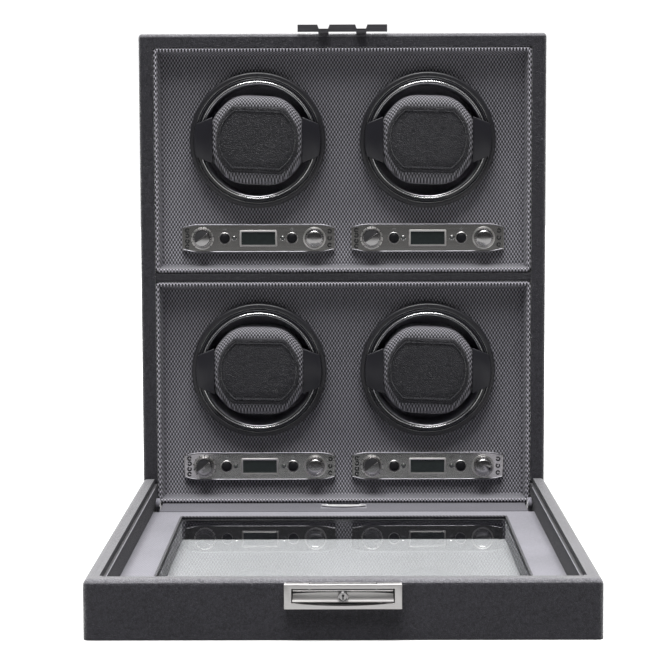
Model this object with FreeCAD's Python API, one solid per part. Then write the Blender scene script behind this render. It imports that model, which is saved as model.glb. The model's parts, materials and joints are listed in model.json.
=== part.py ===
"""Four-place watch winder box: a leather-covered case holding four turning drums, each with a cuff
for one watch, and a glazed cover hinged at the case's foot, here folded down flat in front of it.

Millimetres. +X is right, +Y goes back into the case, +Z is up. The origin is the centre of the
case's foot. Depths in this file are measured from the case's front face and moved to the origin
at the end, so a negative depth is in front of the case.
"""

import FreeCAD
import Part
import math
import os

V = FreeCAD.Vector

# ---- driving dimensions -------------------------------------------------------------------

WIDTH = 324.0
HEIGHT = 394.0
CASE_DEPTH = 197.0
COVER_DEPTH = 38.0
SIDE_BOARD = 11.5
TOP_BOARD = 10.8
BASE_BOARD = 17.6
BACK_BOARD = 9.0
EDGE_R = 3.0
GAP = 0.1

HALF = WIDTH / 2
INNER = HALF - SIDE_BOARD
FRONT = -CASE_DEPTH / 2

# module panels: two recessed trays, one above the other, with a rail between them
DIVIDER = 7.8
MODULE_LOW = BASE_BOARD + GAP
MODULE_H = (HEIGHT - TOP_BOARD - BASE_BOARD - DIVIDER - 4 * GAP) / 2
MODULE_ZS = (MODULE_LOW, MODULE_LOW + MODULE_H + DIVIDER + 2 * GAP)
PANEL_HALF = INNER - 0.2
RIM = 2.6
BEVEL = 2.3
FACE_Y = 12.0
FACE_T = 4.0

# drums
DRUM_X = 68.0
DRUM_ZS = (MODULE_ZS[0] + 107.2, MODULE_ZS[1] + 105.4)
DRUM_XZ = [(side * DRUM_X, z) for z in reversed(DRUM_ZS) for side in (-1, 1)]
BEZEL_R = 54.3
BEZEL_BORE = 49.9
PANEL_BORE = 50.5
CUP_R = 49.0
CUP_BORE = 44.6
CUP_FRONT = 3.5
CUP_FLOOR = 49.0
CUP_BACK = 52.0
SPINDLE_R = 4.0
SPINDLE_END = 78.0
PULLEY_R = 30.0
PULLEY_Y = (58.0, 63.0)
FLANGE_T = 1.0
MOTOR_DROP = 48.0
MOTOR_PULLEY_R = 5.0
MOTOR_SHAFT_R = 1.5
MOTOR_R = 12.5
MOTOR_LONG = 35.0
BRACKET_Y = (70.0, 73.0)
BEARING_R = 9.0
RUN = 0.05

# power inlet in the back board
INLET_XZ = (-120.0, 40.0)
INLET_R = 4.0
INLET_BORE = 2.8

# cuffs
CUFF_W = 76.2
CUFF_H = 72.0
CUFF_FLAT_W = 40.0
CUFF_FLAT_H = 38.0
CUFF_Y = (-3.0, 42.0)
PAD_W = 63.5
PAD_H = 47.0
PAD_T = 2.0
WING_R = 50.4
WING_Y = (-1.5, 1.0)
WING_H = (32.0, 26.6)

# control plates
PLATE_ZS = (MODULE_ZS[0] + 28.5, MODULE_ZS[1] + 26.9)
PLATE_XZ = [(side * DRUM_X, z) for z in reversed(PLATE_ZS) for side in (-1, 1)]
PLATE_W = 122.5
PLATE_H = 23.0
PLATE_END_H = 18.0
PLATE_TAPER = 10.0
PLATE_T = 3.0
PLATE_FRONT = FACE_Y - PLATE_T
KNOB_X = 45.0
KNOB_R = 7.4
KNOB_TALL = 7.5
KNOB_SHAFT_R = 3.0
BUTTON_X = 27.0
BUTTON_R = 3.1
LED_X = 19.5
LED_R = 1.4
DISPLAY = (26.0, 9.8)
DISPLAY_FRAME = (28.7, 12.8)
BOARD_Y = (20.0, 21.6)

# cover, drawn as it lies open
PIVOT_Y = -18.0
PIVOT_Z = 20.2
END_GAP = 0.2
COVER_FRONT = PIVOT_Y + PIVOT_Z - HEIGHT
FRAME_T = 16.4
LINING_T = 0.6
WINDOW_HALF = 126.0
WINDOW_Y = (-364.0, -62.0)
GLASS_T = 3.0
GLASS_LAP = 5.0
TRIM_W = 1.6
RIM_STEP = 2.0
RIM_DROP = 4.5
COVER_WALL = 12.0
WALL_END_R = 5.0
RELIEF_R = 23.4
ARM_X = (147.0, 150.0)
ARM_SLOT_X = 146.0
ARM_R = 4.5
PIN_R = 2.0
GUSSET = (292.0, 37.0, 0.4)

# lock, on the outside of the cover's front wall
LOCK_W = 73.0
LOCK_Z = (20.4, 36.1)
LOCK_PROUD = 6.0
LOCK_WINDOW_W = 64.0
LOCK_WINDOW_Z = (22.5, 33.3)
LEVER_PIVOT_Z = 32.7
LEVER_PIN_R = 0.8
FLAP_W = 63.0
FLAP_T = 1.4
HOOK_X = 15.0
HOOK_W = 8.0
HOOK_Y = -5.3
HOOK_ROOM_Z = 32.7
PLUG_R = 3.3
PLUG_Z = 28.0


# ---- helpers --------------------------------------------------------------------------------


def box(x0, x1, y0, y1, z0, z1):
    return Part.makeBox(x1 - x0, y1 - y0, z1 - z0, V(x0, y0, z0))


def rod(r, y0, y1, x=0.0, z=0.0):
    """A cylinder along Y."""
    return Part.makeCylinder(r, y1 - y0, V(x, y0, z), V(0, 1, 0))


def pin(r, x0, x1, y, z):
    """A cylinder along X."""
    return Part.makeCylinder(r, x1 - x0, V(x0, y, z), V(1, 0, 0))


def turned(profile, x=0.0, z=0.0):
    """A solid of revolution about Y from (radius, depth) points."""
    points = [V(r, y, 0) for r, y in profile]
    face = Part.Face(Part.makePolygon(points + points[:1]))
    solid = face.revolve(V(0, 0, 0), V(0, 1, 0), 360)
    solid.translate(V(x, 0, z))
    return solid


def prism_y(points, y0, y1):
    """A polygon of (x, z) points, drawn out along Y."""
    corners = [V(x, y0, z) for x, z in points]
    face = Part.Face(Part.makePolygon(corners + corners[:1]))
    return face.extrude(V(0, y1 - y0, 0))


def prism_x(edges, x0, x1):
    """Edges in the YZ plane at x = 0, drawn out along X."""
    face = Part.Face(Part.Wire(edges))
    face.translate(V(x0, 0, 0))
    return face.extrude(V(x1 - x0, 0, 0))


def line(a, b):
    """A straight edge between two (y, z) points."""
    return Part.makeLine(V(0, *a), V(0, *b))


def arc(a, mid, b):
    """An arc through three (y, z) points."""
    return Part.Arc(V(0, *a), V(0, *mid), V(0, *b)).toShape()


def on_circle(cy, cz, r, degrees):
    a = math.radians(degrees)
    return (cy + r * math.cos(a), cz + r * math.sin(a))


def rounded(shape, r, test):
    """Round the edges whose bounding box passes the test."""
    edges = [e for e in shape.Edges if test(e.BoundBox)]
    return shape.makeFillet(r, edges)


def chamfered(shape, size, test):
    edges = [e for e in shape.Edges if test(e.BoundBox)]
    return shape.makeChamfer(size, edges)


def near(a, b):
    return abs(a - b) < 1e-4


def mirrored(shape):
    return shape.mirror(V(0, 0, 0), V(1, 0, 0))


def octagon(w, h, flat_w, flat_h):
    """Corners of a rectangle w by h whose corners are cut to the flats given."""
    return [
        (-w / 2, -flat_h / 2),
        (-flat_w / 2, -h / 2),
        (flat_w / 2, -h / 2),
        (w / 2, -flat_h / 2),
        (w / 2, flat_h / 2),
        (flat_w / 2, h / 2),
        (-flat_w / 2, h / 2),
        (-w / 2, flat_h / 2),
    ]


def moved(shape, x, z):
    copy = shape.copy()
    copy.translate(V(x, 0, z))
    return copy


# ---- case -----------------------------------------------------------------------------------


def case_sides():
    board = box(INNER, HALF, 0, CASE_DEPTH, 0, HEIGHT)

    def outside(b):
        return b.XMax > INNER + 1 and b.ZMax > 1

    board = rounded(board, EDGE_R, outside)
    board = board.cut(pin(RELIEF_R, INNER - 1, HALF + 1, PIVOT_Y, PIVOT_Z))
    return [board, mirrored(board)]


def case_top():
    board = box(-INNER, INNER, 0, CASE_DEPTH, HEIGHT - TOP_BOARD, HEIGHT)
    return [rounded(board, EDGE_R, lambda b: near(b.ZMin, HEIGHT) and near(b.YMin, b.YMax))]


def case_base():
    board = box(-INNER, INNER, 0, CASE_DEPTH, 0, BASE_BOARD)
    board = board.cut(box(ARM_X[0], ARM_X[1], 0, 30, 4, 14))
    return [board.cut(box(-ARM_X[1], -ARM_X[0], 0, 30, 4, 14))]


def case_back():
    board = box(-INNER, INNER, CASE_DEPTH - BACK_BOARD, CASE_DEPTH, BASE_BOARD, HEIGHT - TOP_BOARD)
    return [board.cut(rod(INLET_R, 0, CASE_DEPTH + 1, *INLET_XZ))]


def dc_inlet():
    barrel = rod(INLET_R, CASE_DEPTH - 14, CASE_DEPTH, *INLET_XZ)
    return [barrel.cut(rod(INLET_BORE, CASE_DEPTH - 9, CASE_DEPTH, *INLET_XZ))]


def module_divider():
    low = MODULE_ZS[0] + MODULE_H + GAP
    rail = box(-INNER, INNER, 0.6, 60, low, low + DIVIDER)
    return [rounded(rail, 2.0, lambda b: near(b.YMax, 0.6) and near(b.ZMin, b.ZMax))]


def hinge_arms():
    """Two flat steel arms let into the base board, each with a pin that the cover swings on."""
    blade = box(*ARM_X, 0, 30, 4, 14)
    neck = box(*ARM_X, PIVOT_Y, 0, 8.5, 14)
    head = pin(ARM_R, *ARM_X, PIVOT_Y, PIVOT_Z)
    web = prism_x(
        [
            line((PIVOT_Y - ARM_R, PIVOT_Z), (PIVOT_Y + ARM_R, PIVOT_Z)),
            line((PIVOT_Y + ARM_R, PIVOT_Z), (0, 14)),
            line((0, 14), (0, 4)),
            line((0, 4), (PIVOT_Y, 8.5)),
            line((PIVOT_Y, 8.5), (PIVOT_Y - ARM_R, PIVOT_Z)),
        ],
        *ARM_X,
    )
    arm = blade.fuse([neck, head, web, pin(PIN_R, ARM_X[0], INNER + 6, PIVOT_Y, PIVOT_Z)])
    arm = arm.removeSplitter()
    return [arm, mirrored(arm)]


def pull_tab():
    """Bright bow-fronted tab just over the ledge, on a thin neck from the foot of the module."""
    half, back, end, bow_y = 17.6, -11.5, -15.5, -20.2
    z0, z1 = 17.6, 18.3
    outline = [
        Part.makeLine(V(half, end, z0), V(half, back, z0)),
        Part.makeLine(V(half, back, z0), V(-half, back, z0)),
        Part.makeLine(V(-half, back, z0), V(-half, end, z0)),
        Part.Arc(V(-half, end, z0), V(0, bow_y, z0), V(half, end, z0)).toShape(),
    ]
    plate = Part.Face(Part.Wire(outline)).extrude(V(0, 0, z1 - z0))
    plate = chamfered(plate, 0.45, lambda b: near(b.ZMin, z0) and near(b.ZMax, z0) and b.YMin < end - 1)
    neck = box(-13, 13, back - 1, 0, z0, z0 + 0.5)
    rivets = [Part.makeCylinder(1.0, 0.5, V(x, -13.2, z1)) for x in (-13.3, 13.3)]
    return [plate.fuse([neck] + rivets).removeSplitter()]


def catch_plate():
    """Notched plate stood up on two feet, whose front ends are the hooks the lock holds."""
    half, low, high = 35.5, HEIGHT + 1.1, HEIGHT + 6.8
    notches = []
    for x in (-HOOK_X, HOOK_X):
        corners = [(x - 3.7, high - 3.2), (x + 3.7, high - 3.2), (x + 5.2, high + 1), (x - 5.2, high + 1)]
        outline = Part.makePolygon([V(a, -3, b) for a, b in corners + corners[:1]])
        notches.append(Part.Face(outline).extrude(V(0, 4, 0)))
    plate = box(-half, half, -1.6, -0.1, low, high).cut(notches[0]).cut(notches[1])
    parts = []
    for x in (-HOOK_X, HOOK_X):
        x0, x1 = x - HOOK_W / 2, x + HOOK_W / 2
        parts.append(box(x0, x1, 0.4, 17, HEIGHT, HEIGHT + 1.4))
        parts.append(box(x0, x1, HOOK_Y, 0.4, HEIGHT + 0.2, HEIGHT + 1.4))
        parts.append(box(x0, x1, HOOK_Y, HOOK_Y + 1.4, HEIGHT + 0.2, HEIGHT + 2.5))
        parts.append(Part.makeCylinder(2.6, 1.0, V(x, 10, HEIGHT + 1.4)))
    return [plate.fuse(parts).removeSplitter()]


# ---- modules --------------------------------------------------------------------------------


def module_panel(low):
    """A recessed tray: a narrow rim, a steep bevel, and a face board with its holes."""
    z0, z1 = low, low + MODULE_H
    panel = box(-PANEL_HALF, PANEL_HALF, 0, FACE_Y + FACE_T, z0, z1)
    panel = rounded(panel, 1.0, lambda b: near(b.YMin, 0) and near(b.YMax, 0))

    def ring(y, inset):
        x = PANEL_HALF - inset
        corners = [(-x, z0 + inset), (x, z0 + inset), (x, z1 - inset), (-x, z1 - inset)]
        points = [V(a, y, b) for a, b in corners]
        return Part.makePolygon(points + points[:1])

    slope = BEVEL / FACE_Y
    pocket = Part.makeLoft([ring(-1, RIM - slope), ring(FACE_Y, RIM + BEVEL)], True, True)
    mouth = Part.makeLoft([ring(-1, RIM - 2), ring(1, RIM + slope)], True, True)
    panel = panel.cut(pocket).cut(mouth)
    for x, z in DRUM_XZ:
        if z0 < z < z1:
            panel = panel.cut(rod(PANEL_BORE, 0, 30, x, z))
    for x, z in PLATE_XZ:
        if z0 < z < z1:
            panel = panel.cut(box(x - 56, x + 56, 0, 30, z - 8, z + 8))
    return [panel]


def bezel(x, z):
    """Black ring round a drum, with a sleeve into the face board and a split at the top."""
    profile = [
        (BEZEL_BORE, FACE_Y + FACE_T + 2),
        (BEZEL_BORE, 4.6),
        (BEZEL_BORE + 0.6, 4.0),
        (BEZEL_R - 1.2, 4.0),
        (BEZEL_R, 5.2),
        (BEZEL_R, FACE_Y),
        (BEZEL_BORE + 0.5, FACE_Y),
        (BEZEL_BORE + 0.5, FACE_Y + FACE_T + 2),
    ]
    ring = turned(profile)
    ring = ring.cut(box(-0.25, 0.25, 3, 5, BEZEL_BORE - 1, BEZEL_R + 1))
    return moved(ring, x, z)


def plate_outline(w, h, end_h, taper):
    return [
        (-w / 2, -end_h / 2),
        (-w / 2 + taper, -h / 2),
        (w / 2 - taper, -h / 2),
        (w / 2, -end_h / 2),
        (w / 2, end_h / 2),
        (w / 2 - taper, h / 2),
        (-w / 2 + taper, h / 2),
        (-w / 2, end_h / 2),
    ]


def control_plate():
    """Metal plate with holes for two knobs and two buttons, two lamps and a framed display."""
    points = plate_outline(PLATE_W, PLATE_H, PLATE_END_H, PLATE_TAPER)
    plate = prism_y(points, PLATE_FRONT, FACE_Y)
    plate = rounded(plate, 0.8, lambda b: near(b.YMax, PLATE_FRONT))
    w, h = DISPLAY_FRAME
    plate = plate.fuse(box(-w / 2, w / 2, PLATE_FRONT - 1.2, PLATE_FRONT, -h / 2, h / 2))
    for side in (-1, 1):
        plate = plate.fuse(rod(3.7, PLATE_FRONT - 0.8, PLATE_FRONT, side * BUTTON_X, 0))
        plate = plate.fuse(rod(2.0, PLATE_FRONT - 0.4, PLATE_FRONT, side * LED_X, 0))
    plate = plate.removeSplitter()
    w, h = DISPLAY
    plate = plate.cut(box(-w / 2, w / 2, 0, 20, -h / 2, h / 2))
    for side in (-1, 1):
        plate = plate.cut(rod(KNOB_SHAFT_R + RUN, 0, 20, side * KNOB_X, 0))
        plate = plate.cut(rod(BUTTON_R + RUN, 0, 20, side * BUTTON_X, 0))
        plate = plate.cut(rod(LED_R + RUN, 0, 20, side * LED_X, 0))
    return plate


def display_window():
    w, h = DISPLAY
    return box(-w / 2, w / 2, PLATE_FRONT - 0.6, FACE_Y, -h / 2, h / 2)


def circuit_board():
    """Board behind a control plate, with the two lamps standing on it."""
    board = box(-58, 58, *BOARD_Y, -9, 9)
    stands = [box(x - 1.5, x + 1.5, FACE_Y + FACE_T, BOARD_Y[0], -9, -8) for x in (-50, 0, 50)]
    lamps = [rod(LED_R, PLATE_FRONT - 0.7, BOARD_Y[0], side * LED_X, 0) for side in (-1, 1)]
    return [board.fuse(stands + lamps).removeSplitter()]


def knob(x, z):
    """Notched knob with a pointer groove, on a shaft through the plate."""
    back = PLATE_FRONT - 0.3
    front = back - KNOB_TALL
    profile = [
        (0, front + 0.5),
        (KNOB_R - 2.2, front + 0.5),
        (KNOB_R - 1.8, front),
        (KNOB_R - 0.6, front),
        (KNOB_R, front + 0.7),
        (KNOB_R, back),
        (KNOB_SHAFT_R, back),
        (KNOB_SHAFT_R, BOARD_Y[0] - 0.3),
        (0, BOARD_Y[0] - 0.3),
    ]
    body = turned(profile)
    count = 20
    for k in range(count):
        a = 2 * math.pi * k / count
        r = KNOB_R + 0.25
        body = body.cut(rod(0.7, front - 1, back - 1.5, r * math.cos(a), r * math.sin(a)))
    body = body.cut(box(-0.4, 0.4, front - 1, front + 1.0, 1.5, KNOB_R - 2.4))
    return [moved(body, x, z)]


def button(x, z):
    front = PLATE_FRONT - 2.2
    profile = [
        (0, front),
        (1.4, front + 0.25),
        (2.5, front + 0.8),
        (BUTTON_R, front + 1.6),
        (BUTTON_R, FACE_Y + 1),
        (1.5, FACE_Y + 1),
        (1.5, BOARD_Y[0] - 1.1),
        (0, BOARD_Y[0] - 1.1),
    ]
    return [turned(profile, x, z)]


# ---- drums ----------------------------------------------------------------------------------


def drum_cup(x, z):
    """Cup, spindle and pulley in one, with a double-beaded trim ring on its mouth."""
    lip = PULLEY_R + 1.5
    profile = [
        (0, CUP_FLOOR),
        (CUP_BORE, CUP_FLOOR),
        (CUP_BORE, CUP_FRONT),
        (CUP_R, CUP_FRONT),
        (CUP_R, CUP_BACK),
        (12, CUP_BACK),
        (12, PULLEY_Y[0] - FLANGE_T),
        (lip, PULLEY_Y[0] - FLANGE_T),
        (lip, PULLEY_Y[0]),
        (PULLEY_R, PULLEY_Y[0]),
        (PULLEY_R, PULLEY_Y[1]),
        (lip, PULLEY_Y[1]),
        (lip, PULLEY_Y[1] + FLANGE_T),
        (SPINDLE_R, PULLEY_Y[1] + FLANGE_T),
        (SPINDLE_R, SPINDLE_END),
        (0, SPINDLE_END),
    ]
    trim = [
        (CUP_BORE, CUP_FRONT),
        (CUP_BORE, 1.9),
        (CUP_BORE + 0.6, 1.4),
        (CUP_BORE + 1.4, 1.4),
        (CUP_BORE + 2.0, 2.4),
        (CUP_BORE + 2.8, 2.4),
        (CUP_BORE + 3.2, 1.6),
        (CUP_BORE + 3.7, 1.6),
        (CUP_BORE + 4.1, 2.2),
        (CUP_BORE + 4.1, CUP_FRONT),
    ]
    return [turned(profile, x, z), turned(trim, x, z)]


def motor_pulley(x, z):
    lip = MOTOR_PULLEY_R + 1.5
    profile = [
        (0, PULLEY_Y[0] - FLANGE_T),
        (lip, PULLEY_Y[0] - FLANGE_T),
        (lip, PULLEY_Y[0]),
        (MOTOR_PULLEY_R, PULLEY_Y[0]),
        (MOTOR_PULLEY_R, PULLEY_Y[1]),
        (lip, PULLEY_Y[1]),
        (lip, PULLEY_Y[1] + FLANGE_T),
        (MOTOR_SHAFT_R, PULLEY_Y[1] + FLANGE_T),
        (MOTOR_SHAFT_R, BRACKET_Y[1] + 3),
        (0, BRACKET_Y[1] + 3),
    ]
    return [turned(profile, x, z - MOTOR_DROP)]


def loop_shape(big, small, y0, y1):
    """Two discs, one MOTOR_DROP below the other, and what a band round both encloses."""
    lean = math.asin((big - small) / MOTOR_DROP)
    cx, cz = math.cos(lean), -math.sin(lean)
    flanks = [
        (-big * cx, big * cz),
        (-small * cx, small * cz - MOTOR_DROP),
        (small * cx, small * cz - MOTOR_DROP),
        (big * cx, big * cz),
    ]
    discs = [rod(small, y0, y1, 0, -MOTOR_DROP), prism_y(flanks, y0, y1)]
    return rod(big, y0, y1).fuse(discs).removeSplitter()


def drive_belt():
    y0, y1 = PULLEY_Y[0] + 0.5, PULLEY_Y[1] - 0.5
    outer = loop_shape(PULLEY_R + 1, MOTOR_PULLEY_R + 1, y0, y1)
    inner = loop_shape(PULLEY_R + RUN, MOTOR_PULLEY_R + RUN, y0 - 1, y1 + 1)
    return outer.cut(inner)


def motor_bracket():
    """Plate on four posts behind a drum, carrying its bearing and its motor."""
    plate = box(-64, 64, *BRACKET_Y, -62, 38)
    plate = plate.cut(rod(BEARING_R, 60, 80))
    plate = plate.cut(rod(4, 60, 80, 0, -MOTOR_DROP))
    posts = [
        rod(4, FACE_Y + FACE_T, BRACKET_Y[0], x, z) for x in (-60, 60) for z in (-30, 30)
    ]
    return plate.fuse(posts).removeSplitter()


def spindle_bearing():
    ring = rod(BEARING_R, BRACKET_Y[0], BRACKET_Y[1] + 4)
    return ring.cut(rod(SPINDLE_R + RUN, 0, 100))


def gear_motor():
    can = rod(MOTOR_R, BRACKET_Y[1], BRACKET_Y[1] + MOTOR_LONG, 0, -MOTOR_DROP)
    return can.cut(rod(MOTOR_SHAFT_R + RUN, 60, BRACKET_Y[1] + 4, 0, -MOTOR_DROP))


# ---- cuffs ----------------------------------------------------------------------------------


def cuff_cushion(x, z):
    """Padded block for the watch strap, with a raised pad on its face."""
    block = prism_y(octagon(CUFF_W, CUFF_H, CUFF_FLAT_W, CUFF_FLAT_H), *CUFF_Y)
    block = rounded(block, 6, lambda b: near(b.YMax, CUFF_Y[0]))
    points = octagon(PAD_W, PAD_H, CUFF_FLAT_W, PAD_H - 24)
    pad = prism_y(points, CUFF_Y[0] - PAD_T, CUFF_Y[0])
    pad = rounded(pad, 1.2, lambda b: near(b.YMax, CUFF_Y[0] - PAD_T))
    return [moved(block, x, z), moved(pad, x, z)]


def cuff_bracket(x, z):
    """Cradle round the cushion's sides and back, with a wing to pull it out by on each side."""
    side = CUFF_W / 2 + 0.2
    wall = 1.8
    back = CUFF_Y[1] + 0.2
    inner, outer = WING_H[0] / 2, WING_H[1] / 2
    tip = math.sqrt(WING_R**2 - outer**2)
    points = [(side, -inner), (tip, -outer), (tip, outer), (side, inner)]
    wing = prism_y(points, *WING_Y)
    cheek = box(side, side + wall, WING_Y[0], back + 2.5, -inner, inner)
    half = wing.fuse(cheek)
    plate = box(-side, side, back, back + 2.5, -inner, inner)
    cradle = plate.fuse([half, mirrored(half)]).removeSplitter()
    return [moved(cradle, x, z)]


# ---- cover ----------------------------------------------------------------------------------


def end_profile(y_front, top):
    """Side outline of the cover up to a height, its hinge end cut to swing clear."""
    r = PIVOT_Z
    y_end = -END_GAP
    z_end = PIVOT_Z - math.sqrt(r**2 - (y_end - PIVOT_Y) ** 2)
    low = math.degrees(math.atan2(z_end - PIVOT_Z, y_end - PIVOT_Y))
    start = on_circle(PIVOT_Y, PIVOT_Z, r, -90)
    middle = on_circle(PIVOT_Y, PIVOT_Z, r, (low - 90) / 2)
    edges = [line((y_front, 0), start), arc(start, middle, (y_end, z_end))]
    if top > PIVOT_Z:
        cy, cz = y_end - WALL_END_R, top - WALL_END_R
        a = (y_end, cz)
        b = (cy, top)
        edges += [line((y_end, z_end), a), arc(a, on_circle(cy, cz, WALL_END_R, 45), b)]
        edges += [line(b, (y_front, top))]
    else:
        edges += [line((y_end, z_end), (y_end, top)), line((y_end, top), (y_front, top))]
    edges.append(line((y_front, top), (y_front, 0)))
    return edges


def cover_side_walls():
    inner_front = COVER_FRONT + COVER_WALL
    wall = prism_x(end_profile(inner_front, COVER_DEPTH), INNER, HALF)

    def top_outer(b):
        return near(b.XMin, HALF) and b.ZMin > COVER_DEPTH - WALL_END_R - 0.1 and b.YMin < b.YMax

    wall = rounded(wall, 4.0, top_outer)
    step = box(INNER - 1, INNER + RIM_STEP, inner_front - 1, 1, COVER_DEPTH - RIM_DROP, 50)
    wall = wall.cut(step)
    wall = wall.cut(pin(PIN_R + RUN, INNER - 1, INNER + 6.3, PIVOT_Y, PIVOT_Z))
    return [wall, mirrored(wall)]


def cover_front_wall():
    wall = box(-HALF, HALF, COVER_FRONT, COVER_FRONT + COVER_WALL, 0, COVER_DEPTH)

    def outer(b):
        if b.ZMax < 1:
            return False
        if near(b.YMax, COVER_FRONT):
            return True
        return near(b.XMin, b.XMax) and near(b.ZMin, COVER_DEPTH)

    wall = rounded(wall, 4.0, outer)
    inner = COVER_FRONT + COVER_WALL
    step = box(-INNER, INNER, inner - RIM_STEP, inner + 1, COVER_DEPTH - RIM_DROP, 50)
    return [wall.cut(step)]


def cover_frame():
    """The cover's board: four rails round the window, rebated for the glass."""
    inner_front = COVER_FRONT + COVER_WALL
    plate = prism_x(end_profile(inner_front, FRAME_T), -INNER, INNER)
    w, (y0, y1) = WINDOW_HALF, WINDOW_Y
    plate = plate.cut(box(-w, w, y0, y1, -1, 30))
    lap = GLASS_LAP
    rebate = box(-w - lap, w + lap, y0 - lap, y1 + lap, FRAME_T - GLASS_T, 30)
    plate = plate.cut(rebate)
    for side in (-1, 1):
        slot = box(ARM_SLOT_X, INNER, 2 * PIVOT_Y - 2, 1, -1, 30)
        plate = plate.cut(slot if side > 0 else mirrored(slot))
    return [plate]


def window_glass():
    w, (y0, y1), lap = WINDOW_HALF, WINDOW_Y, GLASS_LAP
    return [box(-w - lap, w + lap, y0 - lap, y1 + lap, FRAME_T - GLASS_T, FRAME_T)]


def cover_lining():
    """Thin lining over the frame, with a narrow bead round the window."""
    z0, z1 = FRAME_T, FRAME_T + LINING_T
    inner_front = COVER_FRONT + COVER_WALL
    sheet = box(-INNER, INNER, inner_front, -END_GAP, z0, z1)
    w, (y0, y1), t = WINDOW_HALF, WINDOW_Y, TRIM_W
    sheet = sheet.cut(box(-w - t, w + t, y0 - t, y1 + t, 0, 30))
    slot = box(ARM_SLOT_X, INNER + 1, 2 * PIVOT_Y - 2, 1, -1, 30)
    sheet = sheet.cut(slot).cut(mirrored(slot))
    bead = box(-w - t, w + t, y0 - t, y1 + t, z0, z1 + 0.2).cut(box(-w, w, y0, y1, 0, 30))
    return [sheet, bead]


def hinge_gusset():
    """Soft strip over the hinge line, lying flat on the lining while the cover is open."""
    w, deep, t = GUSSET
    z0 = FRAME_T + LINING_T
    strip = box(-w / 2, w / 2, -END_GAP - deep, -END_GAP - 0.3, z0, z0 + t)
    return [strip.cut(box(-18.4, 18.4, -24, 1, 0, 30))]


# ---- lock -----------------------------------------------------------------------------------

LOCK_FRONT = COVER_FRONT - LOCK_PROUD
FLAP_Y = (LOCK_FRONT + 1.8, LOCK_FRONT + 1.8 + FLAP_T)
LEVER_Y = sum(FLAP_Y) / 2


def lock_case():
    """Framed plate with a window for the lever and a slot in its top for the hooks."""
    half = LOCK_W / 2
    body = box(-half, half, LOCK_FRONT, COVER_FRONT, *LOCK_Z)
    body = rounded(body, 0.8, lambda b: near(b.YMax, LOCK_FRONT))
    w = LOCK_WINDOW_W / 2
    body = body.cut(box(-w, w, LOCK_FRONT - 1, COVER_FRONT - 0.6, *LOCK_WINDOW_Z))
    body = body.cut(box(-21, 21, LOCK_FRONT + 0.85, LOCK_FRONT + 4.2, LOCK_WINDOW_Z[1] - 1, 40))
    for x in (-HOOK_X, HOOK_X):
        x0, x1 = x - HOOK_W / 2 - 0.4, x + HOOK_W / 2 + 0.4
        body = body.cut(box(x0, x1, LOCK_FRONT + 1, COVER_FRONT + 1, HOOK_ROOM_Z, 40))
    bore = pin(LEVER_PIN_R + RUN, -34.6, 34.6, LEVER_Y, LEVER_PIVOT_Z)
    return [body.cut(bore)]


def lock_lever():
    """Push flap on a cross pin; the lip along its top edge holds the catch plate's hooks."""
    half = FLAP_W / 2
    y0, y1 = FLAP_Y
    side_z, mid_z, top_z = 25.1, 23.5, LOCK_WINDOW_Z[1] - 0.3
    ends = [V(-half, y0, side_z), V(half, y0, side_z)]
    bow = Part.Arc(ends[0], V(0, y0, mid_z), ends[1]).toShape()
    rest = Part.makePolygon([ends[1], V(half, y0, top_z), V(-half, y0, top_z), ends[0]])
    flap = Part.Face(Part.Wire([bow] + rest.Edges)).extrude(V(0, y1 - y0, 0))
    bar = box(-20.5, 20.5, y0, y1, top_z, LOCK_Z[1] + 0.2)
    lip = box(-20.5, 20.5, y1, y1 + 0.7, HOOK_ROOM_Z + 1.9, LOCK_Z[1] + 0.2)
    pivot = pin(LEVER_PIN_R, -34.2, 34.2, LEVER_Y, LEVER_PIVOT_Z)
    lever = flap.fuse([bar, lip, pivot]).removeSplitter()
    return [lever.cut(rod(PLUG_R + RUN, y0 - 5, y1 + 5, 0, PLUG_Z))]


def key_plug():
    y0 = FLAP_Y[0] - 0.5
    plug = rod(PLUG_R, y0, FLAP_Y[1] + 0.2, 0, PLUG_Z)
    slot = box(-0.6, 0.6, y0 - 1, y0 + 1.2, PLUG_Z - 2, PLUG_Z + 0.6)
    return [plug.cut(slot).cut(rod(1.1, y0 - 1, y0 + 1.2, 0, PLUG_Z + 1.0))]


# ---- all the pieces -------------------------------------------------------------------------


def everywhere(shape, places):
    return [moved(shape, x, z) for x, z in places]


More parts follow.
